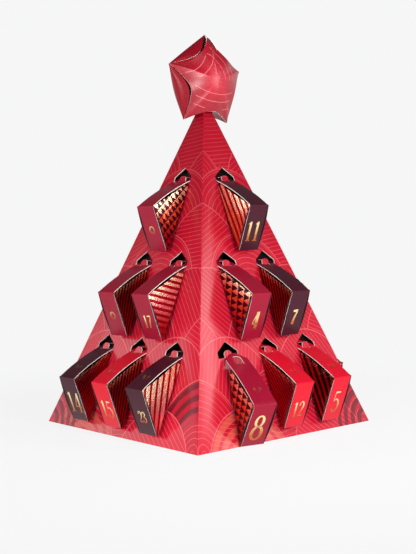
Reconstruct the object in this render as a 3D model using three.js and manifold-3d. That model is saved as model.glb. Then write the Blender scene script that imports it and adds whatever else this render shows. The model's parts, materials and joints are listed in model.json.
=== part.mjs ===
// Table-top advent calendar: a hollow card pyramid with a pillow star on its tip.
// Twenty-four wedge boxes hang on tongues cut in its four faces, one chocolate in each.
// Millimetres, +Z up, origin at the middle of the base. The -Y face is the right-hand face
// of the view that shows two faces, and the -X face is the left-hand one.
import * as THREE from "three";
import { mergeVertices } from "three/addons/utils/BufferGeometryUtils.js";
import Module from "manifold-3d";

const wasm = await Module();
wasm.setup();

// Pyramid
const BASE_SIDE = 300;
const PYRAMID_HEIGHT = 427;
const WALL_CARD = 1.2;
const SEAM = 0.3;

// Rows of boxes up the slant: the lowest boxes clear the base edge by the foot gap
const FOOT_GAP = 10;
const ROW_PITCH = 113;
const COLUMN_PITCH = 68;
const ROWS = 3;

// House-shaped cut-out with its hanging tongue
const CUT_ROOF = 12.5;
const TONGUE_WIDTH = 11.6;
const TONGUE_TIP = 11.2;
const TONGUE_ROUND = 4.6;

// Sleeve strip: front panel, bowed slope panel and the tab that goes in through the cut-out
const SLEEVE_CARD = 0.8;
const STRIP_WIDTH = 30.5;
const BOX_DEPTH = 42.5;
const HOOK_DROP = 18.5;
const FOLD_DROP = 73;
const BOX_DROP = 115.5;
const SLOPE_BOW = 2.3;
const SLOPE_STEPS = 5;
const TAB_RIM = 5.9;
const TAB_SHOULDER = 6.5;
const TAB_TIP_WIDTH = 5;
const HOLE_START = 1.8;
const HOLE_ROUND = 4.8;
const HINGE_OUT = 1.3;

// Tray: back, two foiled sides and a short top flap
const TRAY_CARD = 0.8;
const TRAY_TOP = 8.5;
const SIDE_BULGE = 2.6;
const STAND_OFF = 0.4;
const SIDE_STEPS = 5;
const SIDE_COLUMNS = 2;

// Chocolate
const CHOCOLATE_WIDTH = 24;
const CHOCOLATE_LENGTH = 27;
const CHOCOLATE_THICK = 12;
const CHOCOLATE_TAPER = 3;
const CHOCOLATE_RISE = 20;

// Base panel with turned-up flaps
const FLAP_HEIGHT = 16;
const FLAP_CORNER = 18;

// Cross brace: two interlocked panels that stand on the base along its diagonals
const BRACE_CARD = 1.2;
const BRACE_SETBACK = 3;

// Star, which sits a little off the tip and is turned a little on it
const STAR_RADIUS = 61.8;
const STAR_WAIST = 38.5;
const STAR_HALF_RIM = 15.5;
const STAR_HALF_DEPTH = 27;
const STAR_CARD = 1;
const STAR_FACET_CARD = 1.2;
const STAR_CREASE_WEIGHT = 2;
const STAR_RISE = 16.3;
const STAR_POINTS = 5;
const STAR_EDGE_STEPS = 6;
const STAR_CROWN_POWER = 1.8;
const STAR_RINGS = [0.2, 0.42, 0.64, 0.84, 1];
const STAR_FACET_RINGS = [0.5, 0, -0.5];
const STAR_TIP_SIDE = 2;
const STAR_TURN = THREE.MathUtils.degToRad(-2.4);
const STAR_SHIFT = [1.1, -1];

// Clearances, and the length by which a cutting body stands past what it cuts
const FIT = 0.3;
const HOOK_FIT = 0.4;
const TONGUE_FIT = 0.6;
const CUT_FIT = 1;
const TABLE_FIT = 0.1;
const CUT_PAST = 5;

// A hooked box swings out from its wall at the foot
const HANG_LEAN = THREE.MathUtils.degToRad(4.5);

// One box stands off its hook at the foot of the wall, turned a little and leaning less
const LOOSE_BOX = 8;
const LOOSE_LEAN = THREE.MathUtils.degToRad(5);
const LOOSE_TURN = THREE.MathUtils.degToRad(-11);
const LOOSE_OUT = 3.8;
const LOOSE_SHIFT = -1.7;

// Colours: printed card, sleeves, foil lining and base board
const RED = 0xb01028;
const AUBERGINE = 0x351820;
const BURGUNDY = 0x7a0f22;
const BRIGHT = 0xb80f22;
const FOIL = 0xc06a4a;
const BOARD = 0xd8cfc4;

// Boxes of each face, from the top row down and from left to right, seen from outside
const FACES = [
  { name: "wall_right", boxes: [[11], [4, 7], [8, 12, 5]] },
  { name: "wall_far_right", boxes: [[19], [2, 22], [6, 16, 9]] },
  { name: "wall_far_left", boxes: [[24], [10, 1], [13, 3, 20]] },
  { name: "wall_left", boxes: [[21], [18, 17], [14, 15, 23]] },
];
const AUBERGINE_BOXES = [11, 7, 14, 23, 2, 9, 13, 20];
const BRIGHT_BOXES = [12, 5, 15, 22, 6, 10, 24];

const half = BASE_SIDE / 2;
const wallAngle = Math.atan2(PYRAMID_HEIGHT, half);
const bottomRow = BOX_DROP + FOOT_GAP;
const cutHalfWidth = STRIP_WIDTH / 2 + CUT_FIT;

// Solids from closed geometries, joined and cut
function solid(geometry) {
  const bare = geometry.clone();
  bare.deleteAttribute("normal");
  bare.deleteAttribute("uv");
  const merged = mergeVertices(bare, 1e-4);
  const triangles = merged.index
    ? merged.index.array
    : Array.from({ length: merged.attributes.position.count }, (_, i) => i);
  return new wasm.Manifold(
    new wasm.Mesh({
      numProp: 3,
      vertProperties: new Float32Array(merged.attributes.position.array),
      triVerts: new Uint32Array(triangles),
    }),
  );
}

function geometryOf(body) {
  const mesh = body.getMesh();
  const geometry = new THREE.BufferGeometry();
  geometry.setAttribute("position", new THREE.BufferAttribute(mesh.vertProperties, 3));
  geometry.setIndex(new THREE.BufferAttribute(mesh.triVerts, 1));
  geometry.computeVertexNormals();
  return geometry;
}

// A flat outline given a thickness along +Z
function plate(outline, thickness) {
  return new THREE.ExtrudeGeometry(new THREE.Shape(outline), {
    depth: thickness,
    bevelEnabled: false,
    curveSegments: 1,
  });
}

function block(low, high) {
  const size = high.map((value, axis) => value - low[axis]);
  const box = new THREE.BoxGeometry(...size);
  return box.translate(...low.map((value, axis) => value + size[axis] / 2));
}

// Triangles between rings of points, where each ring has the same count
function skin(rings) {
  const count = rings[0].length;
  const positions = rings.flat().flatMap((p) => [p.x, p.y, p.z]);
  const index = [];
  for (let r = 0; r + 1 < rings.length; r += 1) {
    for (let i = 0; i < count; i += 1) {
      const a = r * count + i;
      const b = r * count + ((i + 1) % count);
      index.push(a, b, b + count, a, b + count, a + count);
    }
  }
  const geometry = new THREE.BufferGeometry();
  geometry.setAttribute("position", new THREE.Float32BufferAttribute(positions, 3));
  geometry.setIndex(index);
  return geometry;
}

// Points of an arch: straight sides up to a round top of the given corner radius
function arch(halfWidth, bottom, top, round) {
  const points = [new THREE.Vector2(halfWidth, bottom)];
  const steps = 4;
  for (const side of [1, -1]) {
    for (let i = 0; i <= steps; i += 1) {
      const turn = (side > 0 ? i : steps - i) / steps;
      const angle = (turn * Math.PI) / 2;
      const x = halfWidth - round + round * Math.cos(angle);
      points.push(new THREE.Vector2(side * x, top - round + round * Math.sin(angle)));
    }
  }
  points.push(new THREE.Vector2(-halfWidth, bottom));
  return points;
}

// A low parabola: nothing at both ends of a run and 1 at its middle
function arc(share) {
  return 4 * share * (1 - share);
}

// Sleeve strip in the plane of its profile: x is out from the wall, y is up the wall
const hook = new THREE.Vector2(0, -HOOK_DROP);
const fold = new THREE.Vector2(BOX_DEPTH, -FOLD_DROP);
const hinge = new THREE.Vector2(HINGE_OUT, -BOX_DROP);
const tabWay = hook.clone().sub(fold).normalize();
const tabOut = new THREE.Vector2(tabWay.y, -tabWay.x);

// The same two directions in the wall's frame, where a hooked box hangs with its lean
const origin = new THREE.Vector2();
const hungWay = tabWay.clone().rotateAround(origin, HANG_LEAN);
const hungOut = tabOut.clone().rotateAround(origin, HANG_LEAN);

// The hole runs past the tongue's tip, so the tab comes straight out over it
const holeEnd = (HOOK_DROP - TONGUE_TIP + TONGUE_FIT + SLEEVE_CARD * hungOut.y) / hungWay.y;
const tabLength = holeEnd + TAB_RIM;

function stripPath() {
  const path = [hinge, fold];
  for (let i = 1; i < SLOPE_STEPS; i += 1) {
    const share = i / SLOPE_STEPS;
    const bow = SLOPE_BOW * arc(share);
    path.push(fold.clone().lerp(hook, share).addScaledVector(tabOut, bow));
  }
  path.push(hook, hook.clone().addScaledVector(tabWay, tabLength));
  return path;
}

// The path is the strip's outer surface; its inner surface lies one card inside
function ribbonOutline(path, thickness) {
  const normals = path.slice(1).map((point, i) => {
    const along = point.clone().sub(path[i]).normalize();
    return new THREE.Vector2(along.y, -along.x);
  });
  const inner = path.map((point, i) => {
    const before = normals[Math.max(i - 1, 0)];
    const after = normals[Math.min(i, normals.length - 1)];
    const middle = before.clone().add(after).normalize();
    return point.clone().addScaledVector(middle, -thickness / middle.dot(before));
  });
  return [...path, ...inner.reverse()];
}

// Extruding runs along Z, so the profile is turned to run along X
const profileToWall = new THREE.Matrix4().makeBasis(
  new THREE.Vector3(0, 0, 1),
  new THREE.Vector3(0, 1, 0),
  new THREE.Vector3(-1, 0, 0),
);

function acrossWall(outline, width) {
  return plate(outline, width)
    .translate(0, 0, -width / 2)
    .applyMatrix4(profileToWall);
}

// Tab plane: x stays across, y runs up the tab from the hook line and z points outward
const tabPlane = new THREE.Matrix4().makeBasis(
  new THREE.Vector3(1, 0, 0),
  new THREE.Vector3(0, tabWay.y, tabWay.x),
  new THREE.Vector3(0, tabOut.y, tabOut.x),
);
tabPlane.setPosition(0, hook.y, hook.x);

// A plate that stands past both faces of a card at z = 0 by the cutting length
function cutterPlate(outline) {
  return plate(outline, 2 * CUT_PAST).translate(0, 0, -CUT_PAST);
}

function tabCutter(outline) {
  return solid(cutterPlate(outline).applyMatrix4(tabPlane));
}

function makeStrip() {
  const halfWidth = STRIP_WIDTH / 2;
  const outline = ribbonOutline(stripPath(), SLEEVE_CARD);
  let strip = solid(acrossWall(outline, STRIP_WIDTH));
  const holeHalf = TONGUE_WIDTH / 2 + TONGUE_FIT;
  strip = strip.subtract(tabCutter(arch(holeHalf, -HOLE_START, holeEnd, HOLE_ROUND)));
  const far = 2 * tabLength;
  for (const side of [1, -1]) {
    const corner = [
      new THREE.Vector2(side * halfWidth, TAB_SHOULDER),
      new THREE.Vector2(side * far, TAB_SHOULDER),
      new THREE.Vector2(side * far, far),
      new THREE.Vector2(0, far),
      new THREE.Vector2(0, tabLength + TAB_TIP_WIDTH / 2),
      new THREE.Vector2((side * TAB_TIP_WIDTH) / 2, tabLength),
    ];
    strip = strip.subtract(tabCutter(corner));
  }
  return geometryOf(strip);
}

// Tray side: the front edge bulges out between the fold and the bottom crease
const innerHalf = STRIP_WIDTH / 2 + FIT;
const outerHalf = innerHalf + TRAY_CARD;
const trayTop = -(HOOK_DROP + TRAY_TOP);
const slopeRun = (fold.x - hook.x) / (hook.y - fold.y);
const flapOut = (hook.y - trayTop) * slopeRun - (SLEEVE_CARD + FIT) / tabOut.x;
const seatOut = STAND_OFF + TRAY_CARD;

// The tray's back ends where its front face would meet the strip, less the clearance
const frontWay = fold.clone().sub(hinge).normalize();
const backRun = (seatOut - hinge.x + (SLEEVE_CARD + FIT) * frontWay.y) / frontWay.x;
const backFoot = hinge.y + backRun * frontWay.y + (SLEEVE_CARD + FIT) * frontWay.x;

function sidePoint(across, share, level) {
  const front = level < fold.y
    ? THREE.MathUtils.mapLinear(level, -BOX_DROP, fold.y, seatOut, fold.x)
    : (hook.y - level) * slopeRun;
  const out = THREE.MathUtils.lerp(STAND_OFF, front, share);
  const rise = THREE.MathUtils.mapLinear(Math.min(level, fold.y), -BOX_DROP, fold.y, 0, 1);
  const bulge = SIDE_BULGE * Math.sin(Math.PI * rise) * share * share;
  return new THREE.Vector3(across + Math.sign(across) * bulge, level, out);
}

// Both surfaces of a side as rings that run out along one face and back along the other
function traySide(side) {
  const levels = [];
  for (let i = 0; i <= SIDE_STEPS; i += 1) {
    levels.push(THREE.MathUtils.lerp(-BOX_DROP, fold.y, i / SIDE_STEPS));
  }
  levels.push(trayTop);
  const rings = levels.map((level) => {
    const outer = [];
    const inner = [];
    for (let c = 0; c <= SIDE_COLUMNS; c += 1) {
      const share = c / SIDE_COLUMNS;
      outer.push(sidePoint(side * outerHalf, share, level));
      inner.push(sidePoint(side * innerHalf, share, level));
    }
    const ring = [...outer, ...inner.reverse()];
    return side > 0 ? ring.reverse() : ring;
  });
  return solid(capped(rings));
}

// Closes the first and the last ring with a strip of triangles across each
function capped(rings) {
  const geometry = skin(rings);
  const count = rings[0].length;
  const index = Array.from(geometry.index.array);
  const last = (rings.length - 1) * count;
  for (let i = 0; i < count / 2 - 1; i += 1) {
    const a = i;
    const b = i + 1;
    const c = count - 2 - i;
    const d = count - 1 - i;
    index.push(a, d, c, a, c, b);
    index.push(last + a, last + c, last + d, last + a, last + b, last + c);
  }
  geometry.setIndex(index);
  return geometry;
}

// A moulded chocolate: a block with cut corners that tapers to a smaller top
function makeChocolate() {
  const low = seatOut - TRAY_CARD / 2;
  const wide = CHOCOLATE_WIDTH / 2;
  const long = CHOCOLATE_LENGTH / 2;
  const cut = CHOCOLATE_TAPER;
  const ring = (inset, out) => {
    const x = wide - inset;
    const y = long - inset;
    return [
      [x, -y + cut], [x, y - cut], [x - cut, y], [-x + cut, y],
      [-x, y - cut], [-x, -y + cut], [-x + cut, -y], [x - cut, -y],
    ].map(([px, py]) => new THREE.Vector3(px, py, out));
  };
  const rings = [
    ring(0, low),
    ring(0, seatOut + CHOCOLATE_THICK / 3),
    ring(CHOCOLATE_TAPER / 2, seatOut + CHOCOLATE_THICK - CHOCOLATE_TAPER / 2),
    ring(CHOCOLATE_TAPER, seatOut + CHOCOLATE_THICK),
  ];
  const centre = -BOX_DROP + CHOCOLATE_RISE + long;
  return solid(capped(rings).translate(0, centre, 0));
}

function makeTray() {
  const back = block([-outerHalf, backFoot, STAND_OFF], [outerHalf, trayTop, seatOut]);
  const flap = block(
    [-outerHalf, trayTop - TRAY_CARD, STAND_OFF],
    [outerHalf, trayTop, flapOut],
  );
  let tray = solid(back).add(solid(flap));
  for (const side of [1, -1]) {
    tray = tray.add(traySide(side));
  }
  return geometryOf(tray.add(makeChocolate()));
}

// Half width of the pyramid set in by a distance from its faces, at a height
function halfAt(height, inset) {
  return half * (1 - height / PYRAMID_HEIGHT) - inset / Math.sin(wallAngle);
}

function heightAt(halfWidth, inset) {
  return (1 - (halfWidth + inset / Math.sin(wallAngle)) / half) * PYRAMID_HEIGHT;
}

// A point of the wall frame from its place across, its height and its depth into the wall
function wallPoint(across, height, inset) {
  const up = (height + inset * Math.cos(wallAngle)) / Math.sin(wallAngle);
  return new THREE.Vector3(across, up, -inset);
}

// One wall, mitred on both ridges
function wallBlank() {
  const gap = SEAM / 2;
  const ring = (inset) => {
    const foot = halfAt(0, inset) - gap;
    const top = heightAt(gap, inset);
    return [wallPoint(-foot, 0, inset), wallPoint(foot, 0, inset), wallPoint(0, top, inset)];
  };
  const outer = ring(0);
  const inner = ring(WALL_CARD);
  const geometry = skin([inner, outer]);
  const index = Array.from(geometry.index.array);
  index.push(0, 2, 1, 3, 4, 5);
  geometry.setIndex(index);
  return solid(geometry);
}

// Bottom edge of a cut-out: just under the strip where it passes the wall's outer face
const cutBottom = -HOOK_DROP - SLEEVE_CARD / hungOut.y - HOOK_FIT;

function cutOutline() {
  const tongue = arch(TONGUE_WIDTH / 2, cutBottom, -TONGUE_TIP, TONGUE_ROUND);
  return [
    new THREE.Vector2(-cutHalfWidth, cutBottom),
    ...tongue.reverse(),
    new THREE.Vector2(cutHalfWidth, cutBottom),
    new THREE.Vector2(cutHalfWidth, -CUT_ROOF),
    new THREE.Vector2(0, 0),
    new THREE.Vector2(-cutHalfWidth, -CUT_ROOF),
  ];
}

function rowPlaces(row) {
  const count = row + 1;
  const up = bottomRow + (ROWS - 1 - row) * ROW_PITCH;
  return Array.from({ length: count }, (_, i) => ({
    across: (i - (count - 1) / 2) * COLUMN_PITCH,
    up,
  }));
}

function makeWall() {
  let wall = wallBlank();
  const cutter = cutterPlate(cutOutline());
  for (let row = 0; row < ROWS; row += 1) {
    for (const place of rowPlaces(row)) {
      wall = wall.subtract(solid(cutter.clone().translate(place.across, place.up, 0)));
    }
  }
  return geometryOf(wall);
}

// A square frustum that follows the walls from one height to another
function frustum(inset, from, to) {
  const ring = (height) => {
    const w = halfAt(height, inset);
    return [[-w, -w], [w, -w], [w, w], [-w, w]].map(([x, y]) => new THREE.Vector3(x, y, height));
  };
  return solid(capped([ring(from), ring(to)]));
}

function makeBase() {
  const outside = WALL_CARD + FIT;
  const shell = frustum(outside, 0, FLAP_HEIGHT);
  const room = frustum(outside + WALL_CARD, WALL_CARD, FLAP_HEIGHT * 2);
  let base = shell.subtract(room);
  for (let corner = 0; corner < FACES.length; corner += 1) {
    const notch = new THREE.BoxGeometry(FLAP_CORNER * 2, FLAP_CORNER * 2, FLAP_HEIGHT * 2);
    notch.rotateZ(Math.PI / 4).translate(half, half, WALL_CARD + FLAP_HEIGHT);
    base = base.subtract(solid(notch.rotateZ((corner * Math.PI) / 2)));
  }
  return geometryOf(base);
}

// One panel of the cross brace, slotted over half its height where it crosses the other
function makeBrace(slotFromTop) {
  const foot = WALL_CARD + FIT;
  const top = heightAt(0, WALL_CARD + BRACE_SETBACK);
  const reach = (height) => Math.SQRT2 * halfAt(height, WALL_CARD + BRACE_SETBACK);
  const outline = [
    new THREE.Vector2(-reach(foot), foot),
    new THREE.Vector2(reach(foot), foot),
    new THREE.Vector2(0, top),
  ];
  const slotHalf = BRACE_CARD / 2 + FIT;
  const middle = (foot + top) / 2;
  const [from, to] = slotFromTop ? [middle - FIT, top + CUT_PAST] : [foot - CUT_PAST, middle + FIT];
  const panel = solid(plate(outline, BRACE_CARD).translate(0, 0, -BRACE_CARD / 2));
  const slot = solid(block([-slotHalf, from, -CUT_PAST], [slotHalf, to, CUT_PAST]));
  const turned = slotFromTop ? Math.PI / 4 : -Math.PI / 4;
  return geometryOf(panel.subtract(slot)).rotateX(Math.PI / 2).rotateZ(turned);
}

// Star outline: a rational curve from point to point, drawn in at the waist and set in by a card.
// Each place has its facet's middle line too: straight from point to point, but drawn in like
// the edges on the side that the pyramid's tip enters
function starOutline(inset) {
  const scale = 1 - inset / STAR_WAIST;
  const middle = STAR_RADIUS * Math.cos(Math.PI / STAR_POINTS);
  const pull = ((1 + STAR_CREASE_WEIGHT) * STAR_WAIST - middle) / STAR_CREASE_WEIGHT;
  const points = [];
  for (let side = 0; side < STAR_POINTS; side += 1) {
    const angle = Math.PI / 2 + (side * 2 * Math.PI) / STAR_POINTS;
    const step = (2 * Math.PI) / STAR_POINTS;
    const from = new THREE.Vector2(Math.cos(angle), Math.sin(angle)).multiplyScalar(STAR_RADIUS);
    const to = new THREE.Vector2(Math.cos(angle + step), Math.sin(angle + step));
    to.multiplyScalar(STAR_RADIUS);
    const bend = new THREE.Vector2(Math.cos(angle + step / 2), Math.sin(angle + step / 2));
    bend.multiplyScalar(pull);
    for (let i = 0; i < STAR_EDGE_STEPS; i += 1) {
      const t = i / STAR_EDGE_STEPS;
      const a = (1 - t) * (1 - t);
      const b = 2 * STAR_CREASE_WEIGHT * t * (1 - t);
      const c = t * t;
      const point = new THREE.Vector2()
        .addScaledVector(from, a)
        .addScaledVector(bend, b)
        .addScaledVector(to, c)
        .multiplyScalar(scale / (a + b + c));
      const straight = from.clone().lerp(to, t).multiplyScalar(scale);
      const belly = side === STAR_TIP_SIDE ? point : straight;
      points.push({ place: point, belly, rim: STAR_HALF_RIM * arc(t) });
    }
  }
  return points;
}

// One ring of a domed panel, at a share of the way from its middle to its rim
function domeRing(outline, share, lift) {
  return outline.map(({ place, rim }) => {
    const crown = STAR_HALF_DEPTH - STAR_CARD - rim;
    const depth = rim + crown * (1 - Math.pow(share, STAR_CROWN_POWER));
    return new THREE.Vector3(place.x * share, place.y * share, depth + lift);
  });
}

function domeRings(outline, lift) {
  const middle = outline.map(() => new THREE.Vector3(0, 0, STAR_HALF_DEPTH - STAR_CARD + lift));
  return [middle, ...STAR_RINGS.map((share) => domeRing(outline, share, lift))];
}

// Front panel: a domed sheet one card thick; x across, y up and z towards its own face
function frontPanel() {
  const outline = starOutline(0);
  const outer = domeRings(outline, STAR_CARD);
  const inner = domeRings(outline, SEAM / 2);
  return solid(skin([...inner, ...outer.reverse()]));
}

// One ring of the side facets, at a share of the way from the middle line to the rim
function facetRing(outline, share) {
  return outline.map(({ place, belly, rim }) => {
    const point = belly.clone().lerp(place, share * share);
    return new THREE.Vector3(point.x, point.y, SEAM / 2 + rim * share);
  });
}

// Back panel with its five side facets, which reach to the front panel's rim
function backPanel() {
  const outline = starOutline(0);
  const inside = starOutline(STAR_FACET_CARD);
  const outer = domeRings(outline, STAR_CARD);
  const inner = domeRings(inside, SEAM / 2);
  const shares = [...STAR_FACET_RINGS, -1];
  const outerFacets = shares.map((share) => facetRing(outline, share));
  const innerFacets = shares.map((share) => facetRing(inside, share));
  return solid(skin([...inner, ...innerFacets, ...outerFacets.reverse(), ...outer.reverse()]));
}

// The pyramid's tip enters the star through its lowest facet
function makeStarPart(panel, turned) {
  const geometry = geometryOf(panel);
  geometry.rotateX(Math.PI / 2);
  geometry.rotateZ(STAR_TURN + (turned ? Math.PI : 0));
  geometry.translate(...STAR_SHIFT, PYRAMID_HEIGHT + STAR_RISE);
  const tipFrom = PYRAMID_HEIGHT + STAR_RISE - STAR_RADIUS;
  const tip = frustum(-FIT, tipFrom, heightAt(SEAM, -FIT));
  return geometryOf(solid(geometry).subtract(tip));
}

function paint(color, roughness, metalness = 0) {
  return new THREE.MeshStandardMaterial({ color, roughness, metalness });
}

function named(name, geometry, material) {
  const mesh = new THREE.Mesh(geometry, material);
  mesh.name = name;
  return mesh;
}

function sleeveColor(number) {
  if (AUBERGINE_BOXES.includes(number)) return AUBERGINE;
  if (BRIGHT_BOXES.includes(number)) return BRIGHT;
  return BURGUNDY;
}

// The box's tray and strip, in the wall's frame before they are hung
function makeBox(number, tray, strip) {
  const box = new THREE.Group();
  const label = String(number).padStart(2, "0");
  box.add(named(`tray_${label}`, tray, paint(FOIL, 0.35, 0.6)));
  box.add(named(`sleeve_${label}`, strip, paint(sleeveColor(number), 0.45)));
  return box;
}

// A hooked box swings about the line where its strip enters the wall
function hang(box, place) {
  const line = new THREE.Vector3(0, -HOOK_DROP, 0);
  box.rotation.x = -HANG_LEAN;
  box.position.copy(line).sub(line.clone().applyEuler(box.rotation));
  box.position.x += place.across;
  box.position.y += place.up;
}

// The loose box stands on its bottom crease on the table
function stand(box, place) {
  box.rotation.set(wallAngle + LOOSE_LEAN, 0, LOOSE_TURN, "ZYX");
  const crease = new THREE.Vector3(0, -BOX_DROP, STAND_OFF).applyEuler(box.rotation);
  box.position.set(place.across + LOOSE_SHIFT, -half - LOOSE_OUT, TABLE_FIT).sub(crease);
}

const calendar = new THREE.Group();
const wallGeometry = makeWall();
const trayGeometry = makeTray();
const stripGeometry = makeStrip();

FACES.forEach(({ name, boxes }, index) => {
  const side = new THREE.Group();
  side.rotation.z = (index * Math.PI) / 2;
  const wall = new THREE.Group();
  wall.position.y = -half;
  wall.rotation.x = wallAngle;
  wall.add(named(name, wallGeometry, paint(RED, 0.35)));
  boxes.forEach((numbers, row) => {
    rowPlaces(row).forEach((place, i) => {
      const box = makeBox(numbers[i], trayGeometry, stripGeometry);
      if (numbers[i] === LOOSE_BOX) {
        stand(box, place);
        side.add(box);
      } else {
        hang(box, place);
        wall.add(box);
      }
    });
  });
  side.add(wall);
  calendar.add(side);
});

calendar.add(named("base_panel", makeBase(), paint(BOARD, 0.8)));
calendar.add(named("brace_upper", makeBrace(false), paint(BOARD, 0.8)));
calendar.add(named("brace_lower", makeBrace(true), paint(BOARD, 0.8)));
calendar.add(named("star_front", makeStarPart(frontPanel(), false), paint(RED, 0.3)));
calendar.add(named("star_back", makeStarPart(backPanel(), true), paint(RED, 0.3)));

export default calendar;
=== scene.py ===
"""A table-top advent calendar of printed card: a pyramid, wedge boxes hooked on its walls, and a star."""

import json
import math

import bmesh
import bpy
from mathutils import Matrix, Vector


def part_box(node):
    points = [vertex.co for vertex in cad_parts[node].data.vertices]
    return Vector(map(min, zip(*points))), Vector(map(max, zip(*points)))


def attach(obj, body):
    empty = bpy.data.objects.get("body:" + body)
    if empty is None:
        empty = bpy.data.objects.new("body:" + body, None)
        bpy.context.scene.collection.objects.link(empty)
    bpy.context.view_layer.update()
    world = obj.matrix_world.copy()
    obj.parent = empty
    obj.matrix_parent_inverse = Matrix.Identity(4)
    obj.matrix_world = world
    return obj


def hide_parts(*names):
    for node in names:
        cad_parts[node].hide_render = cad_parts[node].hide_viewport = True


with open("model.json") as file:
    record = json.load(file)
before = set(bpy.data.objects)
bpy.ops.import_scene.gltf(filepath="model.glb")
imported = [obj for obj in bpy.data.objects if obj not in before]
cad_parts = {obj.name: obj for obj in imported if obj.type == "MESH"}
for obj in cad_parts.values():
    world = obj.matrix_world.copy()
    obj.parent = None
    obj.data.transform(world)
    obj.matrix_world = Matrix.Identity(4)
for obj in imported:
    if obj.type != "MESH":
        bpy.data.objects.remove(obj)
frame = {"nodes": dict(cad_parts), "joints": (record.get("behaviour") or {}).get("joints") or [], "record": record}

bl_info = {
    "name": "Card Advent Calendar",
    "version": (1, 0, 0),
    "blender": (4, 5, 0),
    "location": "View3D > Sidebar > Calendar",
    "description": "Dresses a pyramid calendar of hooked card boxes with a pillow star on its tip",
    "category": "Object",
}

MM = 0.001
UP = Vector((0, 0, 1))
WALLS = ("wall_right", "wall_far_right", "wall_far_left", "wall_left")
BODY = "pyramid"
JOINTS = {joint["name"]: joint for joint in frame["joints"]}
SLOTS = {part["node"]: part["material_slot"] for part in frame["record"]["subparts"]}
NUMBERS = [int(name[5:]) for name in sorted(frame["nodes"]) if name.startswith("tray_")]

# How far the walls lean back, from the way one of the boxes comes off
WALL_LEAN = math.asin(JOINTS["box_11_lift"]["axis"][2])

# How far a hooked box swings out at its foot, and how much less than its wall the loose box leans
HANG_LEAN = math.radians(4.5)
LOOSE_BOX = 8
LOOSE_LEAN = math.radians(5)

# Rows of cut-outs on each wall, from the top one down
ROWS = 3

# Which boxes have which print on their trays
TRAY_PRINTS = {
    "stripes": (11, 2, 16),
    "lozenges": (8, 4, 20, 9),
    "pinstripes": (7, 18, 15, 24),
    "broad": (5, 13, 6),
    "triangles": (21, 19, 3),
    "bands": (17, 10, 22),
    "crinkle": (12, 14, 1),
    "candy": (23,),
}

# Numerals on the fronts: their heights in millimetres, and how much thicker than usual some are drawn
NUMERAL_HEIGHTS = {
    8: 34, 11: 25, 12: 19, 5: 28, 4: 22, 7: 19, 17: 16, 14: 27, 15: 22, 23: 14,
    1: 30, 2: 24, 3: 28, 6: 20, 9: 32, 10: 20, 13: 17, 16: 26, 19: 18, 20: 24, 22: 16, 24: 28,
}
NUMERAL_WEIGHTS = {4: 2.0, 7: 2.2, 17: 1.3, 8: 1.2, 11: 1.2, 15: 1.15, 23: 1.2, 12: 1.15, 5: 1.15}

# Boxes with a bare ring for a numeral, and boxes with a ring on the slope as well
RING_FRONTS = (18, 21)
RING_SLOPES = (8, 12, 5, 14, 15, 23)

# Figures as strokes of (across, up, thickness) points, one unit tall: a bend is smooth, a ring is smooth and
# closed, and a bar is straight
NUMERALS = {
    "0": [("ring", (0.3, 1, 0.05), (0.55, 0.5, 0.15), (0.3, 0, 0.05), (0.05, 0.5, 0.15))],
    "1": [
        ("bar", (0.3, 1, 0.15), (0.3, 0, 0.15)),
        ("bar", (0.12, 0.86, 0.03), (0.3, 0.99, 0.06)),
        ("bar", (0.12, 0.01, 0.035), (0.48, 0.01, 0.035)),
    ],
    "2": [
        ("bend", (0.09, 0.74, 0.1), (0.14, 0.92, 0.05), (0.31, 1, 0.05), (0.52, 0.76, 0.15),
         (0.38, 0.4, 0.09), (0.06, 0.03, 0.04)),
        ("bar", (0.06, 0.03, 0.06), (0.56, 0.03, 0.09)),
        ("bar", (0.55, 0.03, 0.04), (0.58, 0.18, 0.02)),
    ],
    "3": [
        ("bend", (0.08, 0.8, 0.1), (0.28, 1, 0.05), (0.5, 0.78, 0.14), (0.24, 0.54, 0.04)),
        ("bend", (0.24, 0.54, 0.04), (0.56, 0.28, 0.15), (0.28, 0, 0.05), (0.05, 0.2, 0.11)),
    ],
    "4": [
        ("bar", (0.4, 0.98, 0.04), (0.04, 0.3, 0.04)),
        ("bar", (0.04, 0.3, 0.045), (0.58, 0.3, 0.045)),
        ("bar", (0.42, 1, 0.14), (0.42, 0, 0.14)),
        ("bar", (0.27, 0.01, 0.035), (0.57, 0.01, 0.035)),
    ],
    "5": [
        ("bar", (0.14, 0.96, 0.09), (0.52, 0.96, 0.05)),
        ("bar", (0.15, 0.96, 0.035), (0.11, 0.54, 0.035)),
        ("bend", (0.11, 0.54, 0.035), (0.32, 0.62, 0.05), (0.55, 0.32, 0.15), (0.28, 0, 0.05),
         (0.06, 0.18, 0.11)),
    ],
    "6": [
        ("bend", (0.5, 0.88, 0.1), (0.34, 1, 0.05), (0.06, 0.45, 0.15), (0.29, 0, 0.05), (0.55, 0.28, 0.15),
         (0.32, 0.56, 0.05), (0.08, 0.36, 0.06)),
    ],
    "7": [
        ("bar", (0.05, 0.95, 0.06), (0.56, 0.95, 0.1)),
        ("bend", (0.55, 0.93, 0.03), (0.34, 0.5, 0.1), (0.22, 0, 0.16)),
    ],
    "8": [
        ("ring", (0.3, 1, 0.05), (0.49, 0.78, 0.12), (0.3, 0.55, 0.06), (0.11, 0.78, 0.12)),
        ("ring", (0.3, 0.55, 0.06), (0.55, 0.27, 0.15), (0.3, 0, 0.05), (0.05, 0.27, 0.15)),
    ],
    "9": [
        ("bend", (0.1, 0.12, 0.1), (0.26, 0, 0.05), (0.54, 0.55, 0.15), (0.31, 1, 0.05), (0.05, 0.72, 0.15),
         (0.28, 0.44, 0.05), (0.52, 0.64, 0.06)),
    ],
}

# Numerals: from one figure to the next, their width for their height, and how much of the room that they
# leave on the front lies below them
NUMERAL_PITCH = 0.62
NUMERAL_WIDTH = 0.8
NUMERAL_FOOT = 0.36

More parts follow.
